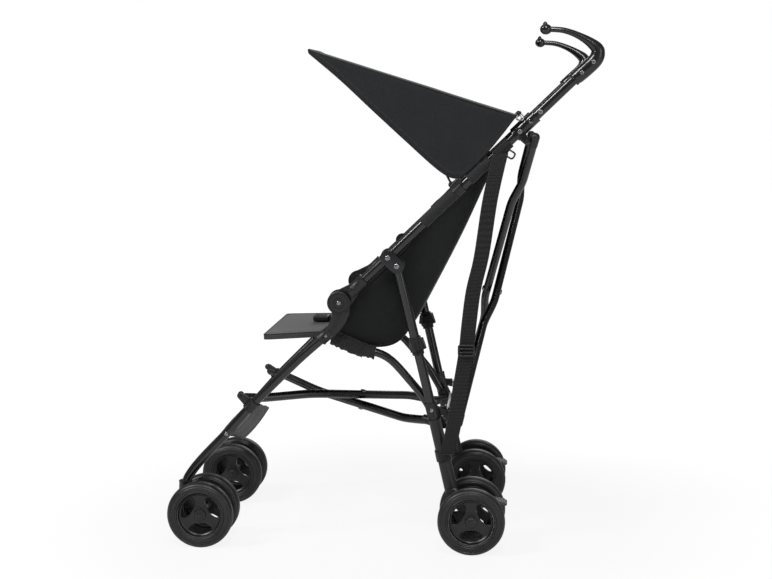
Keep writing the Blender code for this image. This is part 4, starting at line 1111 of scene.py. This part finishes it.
def canopy_fasteners():
    """The hook and ring that tie each rear corner of the cover to the upper tube."""
    knob = [
        (0, 0.0052), (0.0030, 0.0050), (0.0046, 0.0036), (0.0048, 0.0010), (0.0034, -0.0010),
        (0.0022, -0.0060), (0, -0.0060),
    ]
    wire, hoop_radius = 0.0010, 0.0062
    turns = [2 * math.pi * step / 10 for step in range(10)]
    hoop = [(hoop_radius + wire * math.cos(turn), wire * math.sin(turn)) for turn in turns]
    pieces = []
    for side, suffix in SIDES.items():
        corner = Vector((side * canopy_half(0.358), 0.3600 + SHIFT_BACK, 0.8690))
        bm = bmesh.new()
        turned(bm, knob, facing(corner + Vector((0, 0.003, 0.004)), (0, 0.25, 1)), 24)
        pieces.append(held(finished("canopy_knob" + suffix, bm, NYLON), "canopy"))
        bm = bmesh.new()
        eye = corner + Vector((side * 0.002, 0.006, -0.0030))
        turned(bm, hoop, facing(eye, (side, 0.2, 0.3)), 36, closed=True)
        pieces.append(held(finished("canopy_ring" + suffix, bm, ZINC), "canopy"))
    return pieces


# Seat: point and lean of the sling's lower edge and of its wing's edge, from front to top
SEAT_ROWS = [
    ((-0.0130, 0.4255), -0.0370, (-0.0120, 0.4340), -0.0370),
    ((0.0200, 0.4070), -0.0370, (0.0420, 0.5130), -0.0200),
    ((0.0800, 0.4015), -0.0370, (0.0720, 0.5420), -0.0200),
    ((0.1210, 0.4120), -0.0370, (0.1100, 0.5780), -0.0200),
    ((0.1510, 0.4475), -0.0370, (0.1480, 0.6150), -0.0170),
    ((0.1850, 0.5095), -0.0350, (0.1870, 0.6670), -0.0030),
    ((0.2380, 0.6110), -0.0300, (0.2290, 0.7070), -0.0030),
    ((0.2735, 0.6840), -0.0240, (0.2680, 0.7350), -0.0120),
    ((0.3130, 0.7700), -0.0180, (0.3040, 0.7700), -0.0140),
]
SEAT_EDGES = [place(1, lean, low) for low, lean, high, top_lean in SEAT_ROWS]
SEAT_WINGS = [place(1, top_lean, high) for low, lean, high, top_lean in SEAT_ROWS]


def seat_place(u, v):
    edge, wing = curve_through(SEAT_EDGES, v), curve_through(SEAT_WINGS, v)
    sag = 0.006 * math.sin(math.pi * v)
    middle = Vector((0, edge.y + sag * 0.6, edge.z - sag * 0.3))
    share = min(u, 1 - u)
    spot, run = section(share, wing, edge, middle, 0.012)
    spot.x += bulge(share, 0.035 * (edge - wing).length)
    folds = noise.noise(Vector((spot.y * 16, spot.z * 10, u * 3.0)))
    fine = noise.noise(Vector((spot.y * 50, spot.z * 22, u * 9.0 + 5)))
    free = math.sin(math.pi * min(max(v, 0.02), 0.98)) * math.sin(math.pi * min(share * 2 + 0.06, 1))
    spot += Vector((0.0032 * folds + 0.0010 * fine, 0, 0.0010 * folds)) * free
    if u > 0.5:
        spot.x = -spot.x
    return spot, run


def seat():
    """The sling: seat and back in one cloth with a wing at each side, piped along its edges."""
    def size(u, v):
        return seat_place(u, v)[1], v * 0.55

    def line(spots):
        return [seat_place(u, v)[0] for u, v in spots]

    made = cloth("seat_cloth", lambda u, v: seat_place(u, v)[0], 60, 48, size, SEAT_CLOTH, 0.0016)
    along = shares(70)
    bm = bmesh.new()
    for u in (0, 1):
        sweep(bm, line((u, v) for v in along), 0.0022, 12)
    sweep(bm, line((u, 1) for u in along), 0.0022, 12)
    for u in (SIDE_SHARE, 1 - SIDE_SHARE):
        sweep(bm, line((u, v) for v in along[12:]), 0.0014, 10)
    piping = finished("seat_piping", bm, BINDING)
    held(made, "seat", "seat_fabric")
    held(piping, "seat")
    return [made, piping]


def gathered(bm, start, end, radius, depth, folds, hang):
    """A gathered sleeve of cloth round a tube, with its folds along it and its slack hanging down."""
    known = set(bm.verts)
    sweep(bm, [start.lerp(end, share) for share in shares(46)], radius, 40)
    axis = (end - start).normalized()
    for vertex in [vertex for vertex in bm.verts if vertex not in known]:
        along = (vertex.co - start).dot(axis)
        out = vertex.co - start - axis * along
        if out.length < radius * 0.5:
            continue
        angle = math.atan2(out.z, out.x)
        wave = noise.noise(Vector((along * folds, math.cos(angle) * 1.4, math.sin(angle) * 1.4)))
        slack = Vector((0, 0, -hang * max(0, -math.sin(angle))))
        vertex.co += out.normalized() * depth * (wave + 0.35) + slack


def seat_sleeves():
    """The hems that slide on the upper tubes, and the gathered hems round the seat tubes."""
    straight_end = SEAT_TUBE_BENDS[0]
    hems = ((LOWER_HEM, 0.0112, 0.0008), (UPPER_HEM, 0.0114, 0.0012))
    pieces = []
    for side, suffix in SIDES.items():
        bm = bmesh.new()
        for run, radius, depth in hems:
            gathered(bm, *along_tube(side, run), radius, depth, 60, 0)
        start = place(side, SEAT_TUBE_LEAN, SEAT_TUBE_FRONT.lerp(straight_end, 0.16))
        end = place(side, SEAT_TUBE_LEAN, straight_end)
        past = place(side, SEAT_TUBE_LEAN, (0.0790, 0.3968))
        gathered(bm, start, end, 0.0118, 0.0026, 170, 0.0050)
        gathered(bm, end - (end - start).normalized() * 0.004, past, 0.0112, 0.0022, 170, 0.0030)
        pieces.append(held(finished("seat_sleeve" + suffix, bm, SEAT_HEM, 70), "seat"))
    return pieces


def seat_board():
    """Padded front of the seat: a stiff board in cloth, domed and thinner at its rim, with tape round its
    edge.
    """
    low, high = (Vector(corner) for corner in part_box("seat_board"))
    middle, half_length = (low + high) / 2, (high.y - low.y) / 2
    front_half, back_half, thickness, slope = 0.1600, 0.1400, 0.0074, 0.0028

    def half_at(y):
        return front_half + (back_half - front_half) * (y + 1) / 2

    bm = bmesh.new()
    bmesh.ops.create_cube(bm, size=1)
    bmesh.ops.subdivide_edges(bm, edges=bm.edges, cuts=15, use_grid_fill=True)
    for vertex in bm.verts:
        x, y, z = vertex.co * 2
        edge = max(abs(x), abs(y))
        crown = 0.62 + 0.38 * math.sin(math.pi * min(1, (1 - edge) * 3.2) / 2)
        rim = max(0, (edge - 0.93) / 0.07)
        thick = thickness * (1 - 0.35 * rim) * (0.86 + 0.14 * crown)
        corner = 1 - 0.030 * (abs(x) * abs(y)) ** 6
        up = middle.z + z * thick + slope * y
        vertex.co = Vector((x * half_at(y) * corner, middle.y + y * half_length * corner, up))
    made = finished("seat_board_cloth", bm, BOARD_CLOTH, 60)
    modified(made, "SUBSURF", levels=1, render_levels=1)
    applied(made)
    ring = []
    for x, y in ((1, 1), (1, -1), (-1, -1), (-1, 1), (1, 1)):
        up = middle.z + slope * y + 0.0050
        ring.append(Vector((x * half_at(y) * 0.972, middle.y + y * half_length * 0.965, up)))
    bm = bmesh.new()
    sweep(bm, bent(ring, 0.012), 0.0016, 12)
    piping = finished("seat_board_piping", bm, BINDING)
    held(made, "seat", "seat_board")
    held(piping, "seat")
    return [made, piping]


# Harness and straps
def harness():
    """Two waist straps that meet behind the buckle and the crotch strap under it, in narrow webbing."""
    bends = ((0.1395, 0.0850, 0.4520), (0.0900, 0.0400, 0.4420), (0.0300, -0.0215, 0.4490))
    half = [Vector(bend) for bend in bends]
    path = [curve_through(half, share) for share in shares(10)] + [Vector((0.0130, -0.0262, 0.4478))]
    pieces = []
    for side, suffix in SIDES.items():
        places = [Vector((side * spot.x, spot.y + SHIFT_BACK, spot.z)) for spot in path]
        strap = strip("waist_strap" + suffix, places, Vector((0, 0, 1)), 0.0195, HARNESS_WEBBING, 0.0016)
        pieces.append(held(strap, "buckle"))
    low = [(-0.0640, 0.4381), (-0.0450, 0.4381), (-0.0310, 0.4385), (-0.0290, 0.4420), (-0.0292, 0.4462)]
    places = [Vector((0, y + SHIFT_BACK, z)) for y, z in low]
    crotch = strip("crotch_strap", places, Vector((1, 0, 0)), 0.0240, HARNESS_WEBBING, 0.0014, per=4)
    pieces.append(held(crotch, "buckle", "harness"))
    return pieces


def buckle():
    """The buckle's block, the ring and grip ribs on it, and its round button."""
    middle = Vector((0, -0.0490 + SHIFT_BACK, 0.4455))
    ring = [(0.0098, 0.0040), (0.0108, 0.0056), (0.0100, 0.0064), (0.0088, 0.0056)]
    button = [
        (0, 0.0068), (0.0050, 0.0066), (0.0074, 0.0058), (0.0080, 0.0044), (0.0080, 0.0020), (0, 0.0020),
    ]
    bm = bmesh.new()
    rounded_block(bm, (0.0400, 0.0340, 0.0120), 0.0034)
    bmesh.ops.translate(bm, verts=bm.verts, vec=middle - Vector((0, 0, 0.0008)))
    held(finished("buckle_block", bm, NYLON), "buckle", "buckle")
    bm = bmesh.new()
    turned(bm, ring, Matrix.Translation(middle), 36, closed=True)
    for way in (1, -1):
        for number in range(4):
            y = -0.0105 + number * 0.0030
            inner, outer = Vector((way * 0.0125, y, 0.0054)), Vector((way * 0.0180, y, 0.0050))
            sweep(bm, [middle + inner, middle + outer], 0.0008, 10)
    held(finished("buckle_trim", bm, NYLON), "buckle")
    bm = bmesh.new()
    turned(bm, button, Matrix.Translation(middle), 36)
    held(finished("buckle_button_skin", bm, PEDAL), "button", "buckle_button")


STRAP_PATH = [
    (0.0108, 0.3290, 0.8010), (0.0150, 0.3215, 0.7700), (0.0165, 0.3083, 0.7061), (0.0165, 0.2931, 0.6020),
    (0.0165, 0.2777, 0.5342), (0.0165, 0.2689, 0.4656), (0.0165, 0.2631, 0.4087), (0.0190, 0.2532, 0.3470),
    (0.0210, 0.2421, 0.2764), (0.0195, 0.2330, 0.2300), (0.0142, 0.2230, 0.1950),
]


def carry_strap():
    """Ribbed webbing from the left upper tube to the foot of the left rear leg, looped round both."""
    path = [place(1, lean, (y, up)) for lean, y, up in STRAP_PATH]
    places = [curve_through(path, share) for share in shares(40)]
    across = [Vector((0.10 * math.sin(share * 9), 1, 0.05)).normalized() for share in shares(40)]
    strap = strip("carry_strap_web", places, across, 0.0300, WEBBING, 0.0022, 8, 2)
    top = wrap("strap_top_loop", *along_tube(1, STRAP_LOOP), 0.0118, 0.0118)
    foot = wrap("strap_foot_loop", *along_leg(1, FOOT_LOOP), 0.0143, 0.0146)
    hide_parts("carry_strap")
    tuple(places[2])
    tuple(places[-3])
    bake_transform(strap)
    held(top, "frame_l")
    held(foot, "rear_leg_l")
    slide_buckle()


def slide_buckle():
    """Ladder buckle on the strap: a frame with two crossbars."""
    low, high = (Vector(corner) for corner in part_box("strap_buckle"))
    middle = (low + high) / 2
    middle.x = high.x - 0.0022
    reach = Vector((0, 0.0150, 0))
    rise = Vector((0, 0, 0.0105))
    corners = [middle + reach + rise, middle + reach - rise, middle - reach - rise, middle - reach + rise]
    start = corners[0].lerp(corners[-1], 0.5)
    bm = bmesh.new()
    sweep(bm, bent([start, *corners, start], 0.004, 5), 0.0021, 14)
    for up in (-0.0035, 0.0035):
        bar = middle + Vector((0, 0, up))
        sweep(bm, [bar - reach, bar + reach], 0.0017, 12)
    held(finished("strap_buckle_skin", bm, NYLON), "rear_leg_l", "strap_buckle")


def strap_ring():
    """Wire D-ring behind the strap's upper loop."""
    root = place(1, 0.0050, on_tube(0.3330, -0.0125))
    tip = root + Vector((0.003, 0.013, -0.008))
    side = Vector((0, 0.0035, 0.0055))
    path = [root + side, tip + side, tip - side, root - side]
    middle = path[-1].lerp(path[0], 0.5)
    bm = bmesh.new()
    sweep(bm, bent([middle, *path, middle], 0.005, 5), 0.0018, 14)
    held(finished("strap_ring", bm, STEEL), "frame_l")


def seat_loop(side, suffix):
    """Webbing loop that ties a rear corner of the seat to the leg, with its knot and its tail."""
    body = "rear_leg" + suffix
    band = wrap("seat_loop_web" + suffix, *along_leg(side, SEAT_LOOP), 0.0113, 0.0113)
    held(band, body, "seat_loop" + suffix)
    top = place(side, -0.0015, on_leg(0.4290) + Vector((0.0010, 0)))
    bottom = place(side, 0.0010, on_leg(0.4080) + Vector((0.0030, 0)))
    held(wrap("seat_loop_knot" + suffix, top, bottom, 0.0138, 0.0158, 0.0012), body)
    start, end = place(side, -0.0100, (0.1560, 0.4170)), place(side, -0.0340, (0.1500, 0.4200))
    places = [start, start.lerp(end, 0.5), end]
    held(strip("seat_loop_tail" + suffix, places, Vector((0, 0.1, 1)), 0.019, WEBBING, 0.0016), body)


def footrest():
    """Ribbed strap between the front legs, riveted to each."""
    start, end = FRONT_BENDS[1:3]
    centre = end - (end - start).normalized() * 0.006
    half = HALF_WIDTH + centre.y * math.sin(LEAN) - 0.004
    front, back = Vector((0, -0.2255 + SHIFT_BACK, 0.2245)), Vector((0, -0.1930 + SHIFT_BACK, 0.2150))

    def surface(u, v):
        x = (v * 2 - 1) * half
        sag = 0.006 * (1 - (x / half) ** 2)
        return front.lerp(back, u) + Vector((x, 0, 0.0008 * math.sin(u * math.pi * 6) - sag))

    band = cloth("footrest_web", surface, 24, 30, (0.034, 2 * half), FOOT_WEBBING, 0.0026)
    held(band, "front_leg_l", "footrest")
    for side, suffix in SIDES.items():
        spots = both_faces(side, TUBE - 0.0003, centre, FOOTREST_HEAD, 0.0010)
        heads("footrest_rivets" + suffix, "front_leg" + suffix, spots)
    return [band]


# Studio
def floor():
    """A pale floor that glows to the camera only, so that it stays white round soft contact shadows."""
    material, tree, shader, spot = surface_finish("PaleFloor", "", Roughness=0.9)
    shader.inputs["Base Color"].default_value = (0.86, 0.86, 0.86, 1)
    share = worked(tree, "MULTIPLY", add(tree, "LightPath").outputs["Is Camera Ray"], 0.90)
    away = add(tree, "VectorMath", {0: spot}, operation="LENGTH").outputs["Value"]
    glow = ranged(tree, away, From_Min=0.5, From_Max=1.3, To_Min=0.98, To_Max=1.12)
    white = add(tree, "Emission", {"Color": (1, 1, 1, 1), "Strength": glow}).outputs["Emission"]
    mixed = add(tree, "MixShader", {"Fac": share, 1: shader.outputs["BSDF"], 2: white})
    tree.links.new(mixed.outputs["Shader"], tree.nodes["Material Output"].inputs["Surface"])
    bm = bmesh.new()
    bmesh.ops.create_grid(bm, x_segments=2, y_segments=2, size=14)
    finished("floor", bm, material)


def daylight():
    """White where the camera sees the background, and a dimmer even grey for lighting."""
    world = bpy.data.worlds.new("Studio")
    bpy.context.scene.world = world
    world.use_nodes = True
    tree = world.node_tree
    background = tree.nodes["Background"]
    background.inputs["Color"].default_value = (1, 1, 1, 1)
    path = add(tree, "LightPath").outputs
    seen = worked(tree, "MAXIMUM", path["Is Camera Ray"], path["Is Transmission Ray"])
    tree.links.new(ranged(tree, seen, To_Min=0.22, To_Max=1.0), background.inputs["Strength"])


def lamp(name, at, size, power):
    light = bpy.data.lights.new(name, "AREA")
    light.shape = "RECTANGLE"
    light.size, light.size_y = size
    light.energy = power
    made = bpy.data.objects.new(name, light)
    made.matrix_world = facing(Vector(at), Vector(at) - Vector((0, 0, 0.55)))
    bpy.context.scene.collection.objects.link(made)


def lamps():
    lamp("key", (1.6, -2.4, 3.0), (0.5, 1.4), 75)
    lamp("strip", (2.6, 0.4, 3.4), (0.35, 2.4), 60)
    lamp("fill", (2.4, 2.6, 1.2), (1.4, 2.0), 18)
    lamp("back", (-2.6, 0.6, 1.8), (1.8, 1.8), 20)


def camera():
    """The photograph's view: from the buggy's left, a little from behind its middle and a little downward."""
    turn, pitch, roll = 0.0868, -0.1205, -0.0038
    lens_pixels, image_width, sensor = 1400, 772, 36
    flat = math.cos(pitch)
    ahead = Vector((-flat * math.cos(turn), -flat * math.sin(turn), math.sin(pitch)))
    right = ahead.cross(Vector((0, 0, 1))).normalized()
    up = right.cross(ahead)
    right = right * math.cos(roll) + up * math.sin(roll)
    up = right.cross(ahead)
    lens = bpy.data.cameras.new("camera")
    lens.sensor_width = sensor
    lens.lens = sensor * lens_pixels / image_width
    made = bpy.data.objects.new("camera", lens)
    pose = Matrix((right, up, -ahead)).transposed().to_4x4()
    pose.translation = (2.9306, 0.3429 + SHIFT_BACK, 0.8618)
    made.matrix_world = pose
    bpy.context.scene.collection.objects.link(made)
    bpy.context.scene.camera = made


def folds_flat(pieces):
    """Gives each cloth piece a mesh of its own."""
    for piece in pieces:
        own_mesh(piece)


def on_both_sides(*builders):
    for build in builders:
        for side, suffix in SIDES.items():
            build(side, suffix)


camera()
on_both_sides(upper_tube, handle, front_leg, rear_leg, seat_tube, rear_bar, low_bar)
on_both_sides(side_bracket, knee, collars, clamp, lock_link)
wheels()
on_both_sides(caster, rear_foot, brake_pedal)
folds_flat(canopy() + canopy_bow() + canopy_fasteners())
folds_flat(seat() + seat_sleeves() + seat_board())
folds_flat(harness())
buckle()
carry_strap()
strap_ring()
on_both_sides(seat_loop)
folds_flat(footrest())
floor()
daylight()
lamps()
bpy.context.scene.view_settings.view_transform = "Standard"
